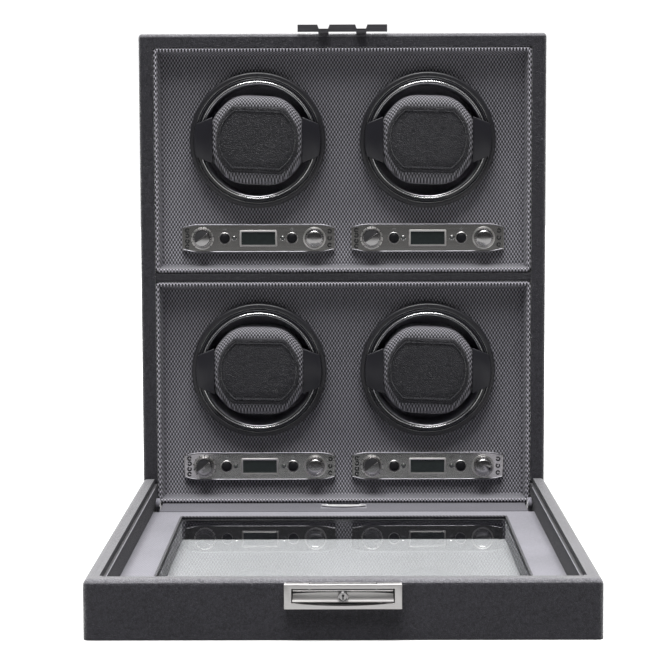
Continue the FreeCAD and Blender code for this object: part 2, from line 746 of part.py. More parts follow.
def all_parts():
    parts = {
        "case_sides": case_sides(),
        "case_top": case_top(),
        "case_base": case_base(),
        "case_back": case_back(),
        "dc_inlet": dc_inlet(),
        "module_divider": module_divider(),
        "lower_module_panel": module_panel(MODULE_ZS[0]),
        "upper_module_panel": module_panel(MODULE_ZS[1]),
        "hinge_arms": hinge_arms(),
        "pull_tab": pull_tab(),
        "catch_plate": catch_plate(),
        "bezel_rings": [bezel(x, z) for x, z in DRUM_XZ],
        "control_plates": everywhere(control_plate(), PLATE_XZ),
        "display_windows": everywhere(display_window(), PLATE_XZ),
        "circuit_boards": everywhere(circuit_board()[0], PLATE_XZ),
        "motor_brackets": everywhere(motor_bracket(), DRUM_XZ),
        "gear_motors": everywhere(gear_motor(), DRUM_XZ),
        "spindle_bearings": everywhere(spindle_bearing(), DRUM_XZ),
        "drive_belts": everywhere(drive_belt(), DRUM_XZ),
        "cover_frame": cover_frame(),
        "cover_side_walls": cover_side_walls(),
        "cover_front_wall": cover_front_wall(),
        "window_glass": window_glass(),
        "cover_lining": cover_lining(),
        "hinge_gusset": hinge_gusset(),
        "lock_case": lock_case(),
        "lock_lever": lock_lever(),
        "key_plug": key_plug(),
    }
    for n, (x, z) in enumerate(DRUM_XZ, 1):
        parts[f"drum_cup_{n}"] = drum_cup(x, z)
        parts[f"motor_pulley_{n}"] = motor_pulley(x, z)
        parts[f"cuff_bracket_{n}"] = cuff_bracket(x, z)
        parts[f"cuff_cushion_{n}"] = cuff_cushion(x, z)
    for n, (x, z) in enumerate(PLATE_XZ, 1):
        for name, side in (("left", -1), ("right", 1)):
            parts[f"knob_{name}_{n}"] = knob(x + side * KNOB_X, z)
            parts[f"button_{name}_{n}"] = button(x + side * BUTTON_X, z)
    return parts


def main():
    os.makedirs("parts", exist_ok=True)
    for name, solids in all_parts().items():
        shape = Part.makeCompound(solids) if len(solids) > 1 else solids[0]
        shape = shape.copy()
        shape.translate(V(0, FRONT, 0))
        shape.exportStep(f"parts/{name}.step")


main()
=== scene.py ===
"""Four-place watch winder box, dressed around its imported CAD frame. Metres, +Y goes back into the case."""

import json
import math

import bmesh
import bpy
from mathutils import Matrix, Vector


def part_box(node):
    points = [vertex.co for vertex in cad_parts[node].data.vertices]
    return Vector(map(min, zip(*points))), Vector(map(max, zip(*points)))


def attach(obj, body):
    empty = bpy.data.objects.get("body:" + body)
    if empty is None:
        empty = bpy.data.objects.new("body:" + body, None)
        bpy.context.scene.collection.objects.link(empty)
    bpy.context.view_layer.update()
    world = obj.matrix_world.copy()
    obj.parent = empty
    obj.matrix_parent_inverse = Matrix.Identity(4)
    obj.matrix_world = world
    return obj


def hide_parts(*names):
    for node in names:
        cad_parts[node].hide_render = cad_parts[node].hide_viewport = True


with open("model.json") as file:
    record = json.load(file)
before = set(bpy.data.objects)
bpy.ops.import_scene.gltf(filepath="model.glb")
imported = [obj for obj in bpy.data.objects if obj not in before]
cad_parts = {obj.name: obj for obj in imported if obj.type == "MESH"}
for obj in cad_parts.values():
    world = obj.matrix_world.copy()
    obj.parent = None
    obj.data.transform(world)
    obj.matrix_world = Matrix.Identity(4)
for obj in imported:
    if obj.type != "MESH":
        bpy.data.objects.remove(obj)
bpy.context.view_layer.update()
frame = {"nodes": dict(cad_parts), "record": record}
NODES = frame["nodes"]
MM = 0.001

CASE_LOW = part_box("case_sides")[0]
FRONT = CASE_LOW.y
DRUMS = [Vector(sum(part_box(f"drum_cup_{n}"), Vector())) / 2 for n in (1, 2, 3, 4)]


def deep(mm):
    """Depth behind the case's front face, in millimetres, as a place along Y."""
    return FRONT + mm * MM


# ---- camera and light ----


# the photograph's viewpoint: where the camera stands, its depth taken from the case's front, and how
# far it is turned, tipped down and rolled, in radians
CAMERA_X, CAMERA_DEPTH, CAMERA_Z = 0.0026, -1.6552, 0.3065
CAMERA_TURN, CAMERA_DOWN, CAMERA_ROLL = 0.0063, 0.0912, -0.0034
SKY = 1.08  # strength of the white sweep


def add_object(name, data):
    obj = bpy.data.objects.new(name, data)
    bpy.context.scene.collection.objects.link(obj)
    return obj


def make_camera():
    data = bpy.data.cameras.new("photo_view")
    data.sensor_width = 36
    data.lens = 111.74
    data.clip_end = 30
    cam = add_object("photo_view", data)
    turn = Matrix.Rotation(CAMERA_TURN, 4, "Z")
    tilt = Matrix.Rotation(math.pi / 2 - CAMERA_DOWN, 4, "X")
    roll = Matrix.Rotation(CAMERA_ROLL, 4, "Z")
    place = Matrix.Translation((CAMERA_X, FRONT + CAMERA_DEPTH, CAMERA_Z))
    cam.matrix_world = place @ turn @ tilt @ roll
    bpy.context.scene.camera = cam


def make_world():
    """A studio: a white sweep behind and above the object, and a dark room behind the camera."""
    world = bpy.data.worlds.new("studio")
    bpy.context.scene.world = world
    world.use_nodes = True
    tree = world.node_tree
    tree.nodes.clear()
    _, y, z = axes(tree, "Generated")
    back = map_range(tree, y, 0.05, SKY, -0.3, 0.3, smooth=True)
    above = map_range(tree, z, 0.0, SKY, 0.55, 0.9, smooth=True)
    shade = node(tree, "ShaderNodeBackground", Color=(1, 1, 1, 1))
    tree.links.new(math_node(tree, "MAXIMUM", back, above), shade.inputs["Strength"])
    sweep = node(tree, "ShaderNodeBackground", Color=(1, 1, 1, 1), Strength=SKY)
    seen = node(tree, "ShaderNodeMixShader")
    tree.links.new(node(tree, "ShaderNodeLightPath").outputs["Is Camera Ray"], seen.inputs[0])
    tree.links.new(shade.outputs[0], seen.inputs[1])
    tree.links.new(sweep.outputs[0], seen.inputs[2])
    out = node(tree, "ShaderNodeOutputWorld")
    tree.links.new(seen.outputs[0], out.inputs["Surface"])


def add_sun(name, energy, spread, travel):
    """A sun with a spread in degrees, whose light travels along a direction."""
    sun = bpy.data.lights.new(name, "SUN")
    sun.energy = energy
    sun.angle = math.radians(spread)
    add_object(name, sun).rotation_euler = Vector(travel).to_track_quat("-Z", "Y").to_euler()


def make_stage():
    bpy.context.scene.view_settings.view_transform = "Standard"
    half, z = 6.0, CASE_LOW.z - 0.0005
    mesh = bpy.data.meshes.new("floor")
    corners = [(-half, -half, z), (half, -half, z), (half, half, z), (-half, half, z)]
    mesh.from_pydata(corners, [], [(0, 1, 2, 3)])
    mesh.update()
    mesh.materials.append(floor_material("floor_white"))
    add_object("floor", mesh)
    add_sun("overhead", 4.8, 40, (0.05, 0.24, -1.0))
    add_sun("edge_light", 1.6, 30, (0.0, -0.75, -0.7))


# ---- mesh helpers ----


def from_bmesh(name, bm, material, smooth_angle=35.0):
    bmesh.ops.recalc_face_normals(bm, faces=bm.faces)
    mesh = bpy.data.meshes.new(name)
    bm.to_mesh(mesh)
    bm.free()
    mesh.shade_smooth()
    mesh.set_sharp_from_angle(angle=math.radians(smooth_angle))
    mesh.materials.append(material)
    return add_object(name, mesh)


def settle(obj, body, slot, *nodes):
    """Ride on a body and stand for CAD nodes. The slot is not used."""
    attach(obj, body)
    if nodes:
        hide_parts(*nodes)
    return obj


def in_place(points):
    """Profile points (radius, depth) in millimetres, as metres in the frame."""
    return [(r * MM, deep(y)) for r, y in points]


def skin(bm, rings):
    """Join rings of points, each to the next. A ring may be one point on an axis."""
    for one, two in zip(rings, rings[1:]):
        for k in range(max(len(one), len(two))):
            n = k + 1
            corners = []
            for v in (one[k % len(one)], one[n % len(one)], two[n % len(two)], two[k % len(two)]):
                if v not in corners:
                    corners.append(v)
            if len(corners) > 2:
                bm.faces.new(corners)


def cap_ends(bm, rings):
    bm.faces.new(rings[0])
    bm.faces.new(list(reversed(rings[-1])))


def lathe_into(bm, profile, centre, turns):
    """Revolve (radius, y) points about the Y axis through a centre, both in metres."""
    rings = []
    for r, y in profile:
        ring = []
        for k in range(1 if r < 1e-7 else turns):
            a = 2 * math.pi * k / turns
            ring.append(bm.verts.new((centre[0] + r * math.cos(a), y, centre[2] + r * math.sin(a))))
        rings.append(ring)
    skin(bm, rings)


def lathe(name, profile, centre, material, turns=96, closed=True):
    bm = bmesh.new()
    points = list(profile) + ([profile[0]] if closed else [])
    lathe_into(bm, points, centre, turns)
    bmesh.ops.remove_doubles(bm, verts=bm.verts, dist=1e-7)
    return from_bmesh(name, bm, material)


def prism_into(bm, outline, y0, y1):
    """A closed (x, z) outline drawn out from y0 (front) to y1 (back)."""
    front = [bm.verts.new((x, y0, z)) for x, z in outline]
    back = [bm.verts.new((x, y1, z)) for x, z in outline]
    bm.faces.new(front)
    bm.faces.new(list(reversed(back)))
    count = len(outline)
    for k in range(count):
        n = (k + 1) % count
        bm.faces.new((front[n], front[k], back[k], back[n]))


def box_into(bm, x0, x1, y0, y1, z0, z1):
    prism_into(bm, [(x0, z0), (x1, z0), (x1, z1), (x0, z1)], y0, y1)


def arc(x, z, radius, start, sweep, steps):
    """Points (x, z) along an arc."""
    turns = [start + sweep * k / steps for k in range(steps + 1)]
    return [(x + radius * math.cos(a), z + radius * math.sin(a)) for a in turns]


def rectangle(w, h):
    """Corners of a rectangle about the origin."""
    return [(-w / 2, -h / 2), (w / 2, -h / 2), (w / 2, h / 2), (-w / 2, h / 2)]


def off_axis(face, x, z):
    """How far a face is from the line along Y through x and z."""
    return math.hypot(face.center.x - x, face.center.z - z)


def paint(obj, finish, test):
    """Give the faces that pass the test another finish: where two coverings meet, and also to paint light and
    shade onto them.
    """
    mesh = obj.data
    mesh.materials.append(M[finish])
    last = len(mesh.materials) - 1
    for face in mesh.polygons:
        if test(face):
            face.material_index = last


def bake_modifiers(obj):
    graph = bpy.context.evaluated_depsgraph_get()
    done = bpy.data.meshes.new_from_object(obj.evaluated_get(graph))
    obj.modifiers.clear()
    obj.data = done


def cut_away(obj, cutters):
    """Take closed bmeshes away from an object."""
    for k, cutter in enumerate(cutters):
        tool = from_bmesh(f"cutter_{k}", cutter, obj.data.materials[0])
        cut = obj.modifiers.new("cut", "BOOLEAN")
        cut.operation = "DIFFERENCE"
        cut.solver = "EXACT"
        cut.object = tool
        bake_modifiers(obj)
        bpy.data.objects.remove(tool)


def bevel_sharp(bm, width, segments, angle, test=None):
    """Round the edges that turn by at least an angle in degrees, and pass the test."""
    bmesh.ops.recalc_face_normals(bm, faces=bm.faces)
    limit = math.radians(angle)
    edges = []
    for e in bm.edges:
        if len(e.link_faces) != 2 or e.calc_face_angle(0) < limit:
            continue
        if test is None or test(e):
            edges.append(e)
    bmesh.ops.bevel(
        bm, geom=edges, offset=width, segments=segments, profile=0.5, affect="EDGES", clamp_overlap=True
    )


def rounded_outline(points, radius, steps):
    """Round the corners of a closed (x, z) polygon."""
    out = []
    count = len(points)
    for k in range(count):
        p, a, b = (Vector(points[i % count]) for i in (k, k - 1, k + 1))
        da, db = (a - p).normalized(), (b - p).normalized()
        half = da.angle(db) / 2
        reach = min(radius / math.tan(half), (a - p).length * 0.49, (b - p).length * 0.49)
        r = reach * math.tan(half)
        centre = p + (da + db).normalized() * (r / math.sin(half))
        s, e = p + da * reach, p + db * reach
        start, end = s - centre, e - centre
        sweep = start.angle_signed(end)
        for i in range(steps + 1):
            turned = start.copy()
            turned.rotate(Matrix.Rotation(-sweep * i / steps, 2))
            out.append(tuple(centre + turned))
    return out


# ---- materials ----


def new_material(name):
    mat = bpy.data.materials.new(name)
    mat.use_nodes = True
    tree = mat.node_tree
    return mat, tree, tree.nodes["Principled BSDF"]


def put(shader, **inputs):
    """Set a node's sockets, with _ for each space in their names."""
    for key, value in inputs.items():
        shader.inputs[key.replace("_", " ")].default_value = value


def node(tree, kind, **inputs):
    made = tree.nodes.new(kind)
    put(made, **inputs)
    return made


def math_node(tree, operation, a, b=None):
    made = tree.nodes.new("ShaderNodeMath")
    made.operation = operation
    for slot_index, value in enumerate((a, b)):
        if value is None:
            continue
        if isinstance(value, (int, float)):
            made.inputs[slot_index].default_value = value
        else:
            tree.links.new(value, made.inputs[slot_index])
    return made.outputs[0]


def times(tree, a, b):
    return math_node(tree, "MULTIPLY", a, b)


def wave(tree, kind, place, pitch):
    """SINE or COSINE of a place in metres, with a pitch in millimetres."""
    return math_node(tree, kind, times(tree, place, 2 * math.pi / (pitch * MM)))


def object_coords(tree):
    return tree.nodes.new("ShaderNodeTexCoord").outputs["Object"]


def axes(tree, kind="Object"):
    """X, Y and Z of a texture coordinate."""
    parts = tree.nodes.new("ShaderNodeSeparateXYZ")
    tree.links.new(tree.nodes.new("ShaderNodeTexCoord").outputs[kind], parts.inputs[0])
    return parts.outputs


def stretched(tree, scale):
    mapping = node(tree, "ShaderNodeMapping", Scale=scale)
    tree.links.new(object_coords(tree), mapping.inputs["Vector"])
    return mapping.outputs[0]


def noise(tree, scale, detail=3.0, rough=0.5, vector=None):
    made = node(tree, "ShaderNodeTexNoise", Scale=scale, Detail=detail, Roughness=rough)
    tree.links.new(vector or object_coords(tree), made.inputs["Vector"])
    return made.outputs["Fac"]


def ramp(tree, value, low, high, start=0.0, end=1.0):
    """A colour ramp from low at start to high at end."""
    made = tree.nodes.new("ShaderNodeValToRGB")
    made.color_ramp.elements[0].position = start
    made.color_ramp.elements[1].position = end
    made.color_ramp.elements[0].color = (*low, 1)
    made.color_ramp.elements[1].color = (*high, 1)
    tree.links.new(value, made.inputs[0])
    return made.outputs["Color"]


def blend_of(tree, *parts):
    """Weighted sum of (value, weight) pairs."""
    total = None
    for value, weight in parts:
        scaled = times(tree, value, weight)
        total = scaled if total is None else math_node(tree, "ADD", total, scaled)
    return total


def bump(tree, bsdf, height, distance, strength=1.0):
    made = node(tree, "ShaderNodeBump", Distance=distance, Strength=strength)
    tree.links.new(height, made.inputs["Height"])
    tree.links.new(made.outputs[0], bsdf.inputs["Normal"])


def map_range(tree, value, low, high, from_low=0.0, from_high=1.0, smooth=False):
    """A value between from_low and from_high, stretched to run from low to high."""
    made = node(tree, "ShaderNodeMapRange", From_Min=from_low, From_Max=from_high, To_Min=low, To_Max=high)
    if smooth:
        made.interpolation_type = "SMOOTHSTEP"
    tree.links.new(value, made.inputs["Value"])
    return made.outputs[0]


def leather(name, dark, light, grain=900.0, rough=(0.32, 0.46), depth=0.0004, specular=0.3, sheen=1.0):
    """Pebbled leather: rounded cells with creases between them, uneven and faintly mottled."""
    mat, tree, bsdf = new_material(name)
    cells = node(tree, "ShaderNodeTexVoronoi", Scale=grain)
    cells.feature = "DISTANCE_TO_EDGE"
    wobble = node(tree, "ShaderNodeTexNoise", Scale=grain * 0.5, Detail=2.0)
    coords = object_coords(tree)
    tree.links.new(coords, wobble.inputs["Vector"])
    shifted = tree.nodes.new("ShaderNodeVectorMath")
    shifted.operation = "MULTIPLY_ADD"
    tree.links.new(wobble.outputs["Color"], shifted.inputs[0])
    shifted.inputs[1].default_value = (0.7 / grain,) * 3
    tree.links.new(coords, shifted.inputs[2])
    tree.links.new(shifted.outputs[0], cells.inputs["Vector"])
    pebble = map_range(tree, cells.outputs["Distance"], 0.0, 1.0, 0.0, 0.35)
    uneven = noise(tree, grain * 0.5, 2.0, 0.6)
    mottle = noise(tree, 14.0, 4.0, 0.6)
    height = blend_of(tree, (pebble, 0.5), (uneven, 0.9))
    tone = blend_of(tree, (pebble, 0.3), (uneven, 0.5), (mottle, 0.2))
    tree.links.new(ramp(tree, tone, dark, light, 0.2, 0.7), bsdf.inputs["Base Color"])
    tree.links.new(map_range(tree, pebble, rough[1], rough[0]), bsdf.inputs["Roughness"])
    put(bsdf, Specular_IOR_Level=specular, Sheen_Weight=sheen, Sheen_Roughness=0.4)
    bump(tree, bsdf, height, depth, 1.0)
    return mat


def suede(name, dark, light, sheen=0.6, twill=0.35):
    """Brushed cloth: a soft nap over a fine slanting weave."""
    mat, tree, bsdf = new_material(name)
    nap = noise(tree, 750.0, 3.0, 0.75)
    cloud = noise(tree, 22.0, 4.0, 0.6)
    x, y, _ = axes(tree)
    along = math_node(tree, "ADD", x, times(tree, y, 0.35))
    line = map_range(tree, wave(tree, "SINE", along, 1.9), 0.0, 1.0, -1.0, 1.0)
    mixed = blend_of(tree, (nap, 0.75 - twill / 2), (line, twill / 2), (cloud, 0.25))
    tree.links.new(ramp(tree, mixed, dark, light, 0.3, 0.7), bsdf.inputs["Base Color"])
    put(bsdf, Roughness=0.95, Specular_IOR_Level=0.2, Sheen_Weight=sheen, Sheen_Roughness=0.5)
    bump(tree, bsdf, nap, 0.0002, 0.8)
    return mat


def piping_cloth(name, dark, light, pitch):
    """Twisted cord under cloth: slanting light and dark turns along X or Z, whichever way it runs."""
    mat, tree, bsdf = new_material(name)
    x, y, z = axes(tree)
    slant = math_node(tree, "ADD", math_node(tree, "ADD", x, z), times(tree, y, 0.6))
    turn = map_range(tree, wave(tree, "SINE", slant, pitch), 0.0, 1.0, -0.6, 0.8)
    fine = noise(tree, 1800.0, 2.0, 0.6)
    tone = blend_of(tree, (turn, 0.8), (fine, 0.2))
    tree.links.new(ramp(tree, tone, dark, light, 0.15, 0.9), bsdf.inputs["Base Color"])
    put(bsdf, Roughness=0.55, Sheen_Weight=0.2)
    bump(tree, bsdf, turn, 0.0004, 0.9)
    return mat


WEAVE_ACROSS, WEAVE_UP = 2.58, 4.1  # one repeat of the diamond weave, in millimetres


def diamond_cloth(name, gap, thread, depth=0.0005):
    """A staggered diamond weave, standing up where the threads cross."""
    mat, tree, bsdf = new_material(name)
    x, y, z = axes(tree)
    # the weave runs on round an edge, so depth adds to height
    rise = math_node(tree, "ADD", z, y)
    weave = times(tree, wave(tree, "COSINE", x, WEAVE_ACROSS), wave(tree, "COSINE", rise, WEAVE_UP))
    height = map_range(tree, weave, 0.0, 1.0, -0.75, 0.75)
    fine = noise(tree, 2500.0, 2.0, 0.6)
    tone = blend_of(tree, (height, 0.85), (fine, 0.15))
    tree.links.new(ramp(tree, tone, gap, thread, 0.25, 0.95), bsdf.inputs["Base Color"])
    put(bsdf, Roughness=0.5, Sheen_Weight=0.15)
    bump(tree, bsdf, height, depth, 0.9)
    return mat


def plastic(name, colour, rough, speckle=0.0, specular=0.5):
    mat, tree, bsdf = new_material(name)
    grain = noise(tree, 1800.0, 2.0)
    low = tuple(c * (1 - speckle) for c in colour)
    high = tuple(min(1, c * (1 + speckle)) for c in colour)
    tree.links.new(ramp(tree, grain, low, high, 0.3, 0.7), bsdf.inputs["Base Color"])
    put(bsdf, Specular_IOR_Level=specular)
    worn = noise(tree, 60.0, 3.0)
    tree.links.new(map_range(tree, worn, rough * 0.85, min(1, rough * 1.15)), bsdf.inputs["Roughness"])
    bump(tree, bsdf, grain, 0.00002, 0.4)
    return mat


def metal(name, colour, rough, brushed=None, wear=0.08):
    """Bare metal; brushed is how far the brushing is stretched along X, Y and Z."""
    mat, tree, bsdf = new_material(name)
    put(bsdf, Metallic=1.0)
    if brushed:
        lines = noise(tree, 900.0, 3.0, 0.6, stretched(tree, brushed))
    else:
        lines = noise(tree, 120.0, 3.0)
    low = tuple(c * (1 - wear) for c in colour)
    tree.links.new(ramp(tree, lines, low, colour, 0.3, 0.7), bsdf.inputs["Base Color"])
    tree.links.new(map_range(tree, lines, rough * 0.8, rough * 1.25), bsdf.inputs["Roughness"])
    if brushed:
        bump(tree, bsdf, lines, 0.000004, 0.12)
    return mat


def thin_glass(name):
    """Clear sheet glass: see-through, with mirror reflections that grow at a low angle."""
    mat, tree, bsdf = new_material(name)
    tree.nodes.remove(bsdf)
    clear = node(tree, "ShaderNodeBsdfTransparent", Color=(0.845, 0.85, 0.855, 1))
    gloss = node(tree, "ShaderNodeBsdfGlossy", Color=(0.95, 0.96, 0.96, 1), Roughness=0.015)
    fresnel = node(tree, "ShaderNodeFresnel", IOR=1.5)
    smear = noise(tree, 9.0, 3.0)
    tree.links.new(map_range(tree, smear, 0.0, 0.03), gloss.inputs["Roughness"])
    # only the side a ray enters by mirrors, because the clear shader doesn't bend it
    inside = tree.nodes.new("ShaderNodeNewGeometry").outputs["Backfacing"]
    outer = times(tree, fresnel.outputs[0], math_node(tree, "SUBTRACT", 1.0, inside))
    mix = tree.nodes.new("ShaderNodeMixShader")
    tree.links.new(outer, mix.inputs[0])
    tree.links.new(clear.outputs[0], mix.inputs[1])
    tree.links.new(gloss.outputs[0], mix.inputs[2])
    out = tree.nodes["Material Output"]
    tree.links.new(mix.outputs[0], out.inputs["Surface"])
    return mat


def dark_glass(name, colour):
    mat, tree, bsdf = new_material(name)
    glow = noise(tree, 300.0, 2.0)
    high = tuple(c * 2 for c in colour)
    tree.links.new(ramp(tree, glow, colour, high), bsdf.inputs["Base Color"])
    put(bsdf, Roughness=0.12, Coat_Weight=0.3)
    return mat


def floor_material(name):
    """White sweep. What it bounces back at the object is a greyer floor that ends in the dark."""
    mat, tree, bsdf = new_material(name)
    tone = noise(tree, 3.0, 2.0)
    white = ramp(tree, tone, (0.86, 0.86, 0.86), (0.88, 0.88, 0.88))
    near = map_range(tree, axes(tree)["Y"], 0.04, 0.35, -3.2, -1.9)
    seen = tree.nodes.new("ShaderNodeLightPath").outputs["Is Camera Ray"]
    share = math_node(tree, "MAXIMUM", seen, near)
    shaded = tree.nodes.new("ShaderNodeVectorMath")
    shaded.operation = "SCALE"
    tree.links.new(white, shaded.inputs[0])
    tree.links.new(share, shaded.inputs["Scale"])
    tree.links.new(shaded.outputs[0], bsdf.inputs["Base Color"])
    put(bsdf, Roughness=0.6, Specular_IOR_Level=0.2)
    return mat


# how each finish is made, its name, and its colours and other measures
FINISHES = (
    (leather, "case_leather", (0.005, 0.0047, 0.0068), (0.040, 0.0382, 0.049)),
    # lighter leather for rounded top edges: a painted highlight
    (leather, "edge_leather", (0.04, 0.039, 0.045), (0.21, 0.205, 0.225), 900.0, (0.4, 0.55), 0.0003),
    (leather, "rail_leather", (0.005, 0.0048, 0.0065), (0.034, 0.0328, 0.041), 1100.0),
    (leather, "pad_leather", (0.004, 0.0039, 0.0055), (0.026, 0.0252, 0.032),
     800.0, (0.42, 0.56), 0.0007, 0.35, 0.3),
    # darker leather for inner faces, the tab's neck and the lining's upright edges: painted shade
    (leather, "inner_leather", (0.005, 0.0048, 0.007), (0.014, 0.0135, 0.0195),
     1100.0, (0.5, 0.62), 0.0003, 0.2, 0.1),
    (diamond_cloth, "module_cloth", (0.004, 0.0038, 0.0055), (0.33, 0.32, 0.365)),
    (diamond_cloth, "cuff_cloth", (0.004, 0.004, 0.005), (0.34, 0.33, 0.37)),
    # lighter plain cloth for the up-facing bottom bevel only: painted light
    (suede, "bevel_cloth", (0.075, 0.073, 0.083), (0.16, 0.156, 0.178), 1.0, 0.1),
    (diamond_cloth, "piping_cloth", (0.002, 0.002, 0.003), (0.62, 0.60, 0.67), 0.0007),
    (piping_cloth, "window_cord", (0.003, 0.003, 0.004), (0.16, 0.156, 0.175), 2.6),
    (suede, "lining_suede", (0.13, 0.127, 0.147), (0.33, 0.321, 0.365)),
    # darker copy of the lining suede for the gusset down in the hinge recess: painted shade
    (suede, "gusset_suede", (0.075, 0.073, 0.085), (0.155, 0.151, 0.172), 0.3),
    (plastic, "black_plastic", (0.020, 0.0195, 0.023), 0.34, 0.3),
    (plastic, "gloss_black", (0.010, 0.010, 0.012), 0.16),
    (plastic, "grip_black", (0.016, 0.0155, 0.020), 0.30, 0.2),
    (plastic, "cup_black", (0.085, 0.083, 0.097), 0.42, 0.2),
    (metal, "gunmetal", (0.66, 0.645, 0.63), 0.11, (0.03, 1.0, 1.0), 0.12),
    (metal, "knob_metal", (0.50, 0.49, 0.49), 0.18),
    (metal, "nickel", (0.78, 0.76, 0.75), 0.36, (0.04, 1.0, 1.0), 0.1),
    (metal, "catch_steel", (0.26, 0.255, 0.275), 0.34, (0.04, 1.0, 1.0), 0.14),
    (metal, "tab_steel", (0.90, 0.90, 0.90), 0.6),
    (plastic, "button_black", (0.014, 0.014, 0.016), 0.42, 0.2, 0.12),
    (metal, "trim_chrome", (0.60, 0.60, 0.62), 0.30),
    (metal, "polished", (0.80, 0.80, 0.80), 0.18),
    (metal, "zinc", (0.10, 0.10, 0.105), 0.45),
    (metal, "bronze", (0.55, 0.42, 0.25), 0.45),
    # black for the plate's marks and ticks, and for painted shade in the lock's recesses, the flap's groove
    # and the keyhole
    (plastic, "engraved", (0.012, 0.012, 0.013), 0.5, 0.3),
    (plastic, "board_green", (0.03, 0.15, 0.06), 0.45, 0.2),
    (plastic, "belt_rubber", (0.015, 0.015, 0.015), 0.8, 0.2),
    (thin_glass, "window_clear"),
    (dark_glass, "display_dark", (0.013, 0.017, 0.017)),
    (plastic, "stitch_thread", (0.055, 0.055, 0.062), 0.7, 0.3),
    (dark_glass, "lamp_clear", (0.05, 0.05, 0.052)),
    # light grey for the inside of the cups: painted light in their shade
    (plastic, "cup_wall", (0.50, 0.49, 0.55), 0.6, 0.2),
    (plastic, "edge_thread", (0.32, 0.315, 0.34), 0.6, 0.2),
)
M = {name: maker(name, *rest) for maker, name, *rest in FINISHES}


# CAD nodes whose finish isn't called what their material slot is
FINISH_OF = {
    "pull_tab": "tab_steel",
    "hinge_arms": "lining_suede",
    "catch_plate": "catch_steel",
    "window_glass": "window_clear",
    "display_windows": "display_dark",
}


def dress_cad_nodes():
    slots = {s["node"]: s["material_slot"] for s in frame["record"]["subparts"]}
    for name, obj in NODES.items():
        obj.data.materials.clear()
        obj.data.materials.append(M[FINISH_OF.get(name, slots[name])])
        obj.data.shade_smooth()
        obj.data.set_sharp_from_angle(angle=math.radians(30))
    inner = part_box("cover_side_walls")[1].x - 9.0 * MM
    # the tab's neck is painted dark leather: painted shade
    paint(NODES["pull_tab"], "inner_leather", lambda p: p.center.y > deep(-11))
    paint(NODES["circuit_boards"], "lamp_clear", lambda p: p.center.y < deep(12))
    walls = NODES["cover_side_walls"]
    # the inner faces of the side and front walls take a darker leather: painted shade
    paint(walls, "inner_leather", lambda p: abs(p.center.x) < inner and abs(p.normal.x) > 0.7)
    paint(NODES["cover_front_wall"], "inner_leather", lambda p: p.normal.y > 0.7)
    # the crowns of the cover's walls get a lighter leather: a painted highlight
    for wall in ("cover_side_walls", "cover_front_wall"):
        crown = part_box(wall)[1].z - 2.5 * MM
        paint(NODES[wall], "edge_leather", lambda p: p.center.z > crown and p.normal.z > 0.25)
    # and so do the case's rounded front top edges: a painted highlight
    for board in ("case_top", "case_sides"):
        paint(NODES[board], "edge_leather", lambda p: 0.2 < p.normal.z < 0.97 and p.center.y < deep(4))
    # the lining's upright faces round the window take the darker leather: painted shade
    paint(NODES["cover_lining"], "inner_leather", lambda p: abs(p.normal.z) < 0.5)


# ---- module panels ----


def tray_panel(name, cad):
    """Recessed tray: a rolled rim, a sloping bevel and a face with its holes cut."""
    low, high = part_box(cad)
    rim, bevel, face = 3.2 * MM, 2.2 * MM, deep(12)
    roll = rim / 2
    profile = [(0.0, deep(5)), (0.0, FRONT + roll)]
    for k in range(1, 10):
        a = math.pi * k / 10
        profile.append((roll - roll * math.cos(a), FRONT + roll - roll * math.sin(a)))
    profile += [(rim, FRONT + roll), (rim + 0.25 * bevel, deep(3.4)), (rim + bevel, face - 0.5 * MM)]
    profile += [(rim + bevel + 0.5 * MM, face)]
    bm = bmesh.new()
    loops = []
    for inset, y in profile:
        corner = max(0.4 * MM, 3.0 * MM - inset)
        x, z0, z1 = high.x - inset, low.z + inset, high.z - inset
        outline = rounded_outline([(-x, z0), (x, z0), (x, z1), (-x, z1)], corner, 4)
        loops.append([bm.verts.new((a, y, b)) for a, b in outline])
    skin(bm, loops)
    bm.faces.new(loops[-1])
    obj = from_bmesh(name, bm, M["module_cloth"], 50)
    obj.data.materials.append(M["piping_cloth"])
    obj.data.materials.append(M["bevel_cloth"])
    for p in obj.data.polygons:
        if p.center.y > face - 0.1 * MM:
            continue
        inside = abs(p.center.x) < high.x - rim and low.z + rim < p.center.z < high.z - rim
        # the bottom bevel, which faces up, takes a lighter plain cloth and the other bevels the dark weave:
        # painted light on the lit side
        below = p.center.z < low.z + rim + bevel and p.normal.z > 0.2
        p.material_index = 1 if not inside else 2 if below else 0
    holes = bmesh.new()
    hole = in_place([(0, 0), (50.5, 0), (50.5, 30), (0, 30)])
    for centre in DRUMS:
        if low.z < centre.z < high.z:
            lathe_into(holes, hole, centre, 128)
    cut_away(obj, [holes])
    return settle(obj, "case", "module_cloth")


# ---- drums ----


def ring_bead(r, y, radius, steps=10):
    """Points of a half-round bead that bulges to the front, from its inner side to its outer."""
    out = []
    for k in reversed(range(steps + 1)):
        a = math.pi * k / steps
        out.append((r + radius * math.cos(a), y - radius * math.sin(a)))
    return out


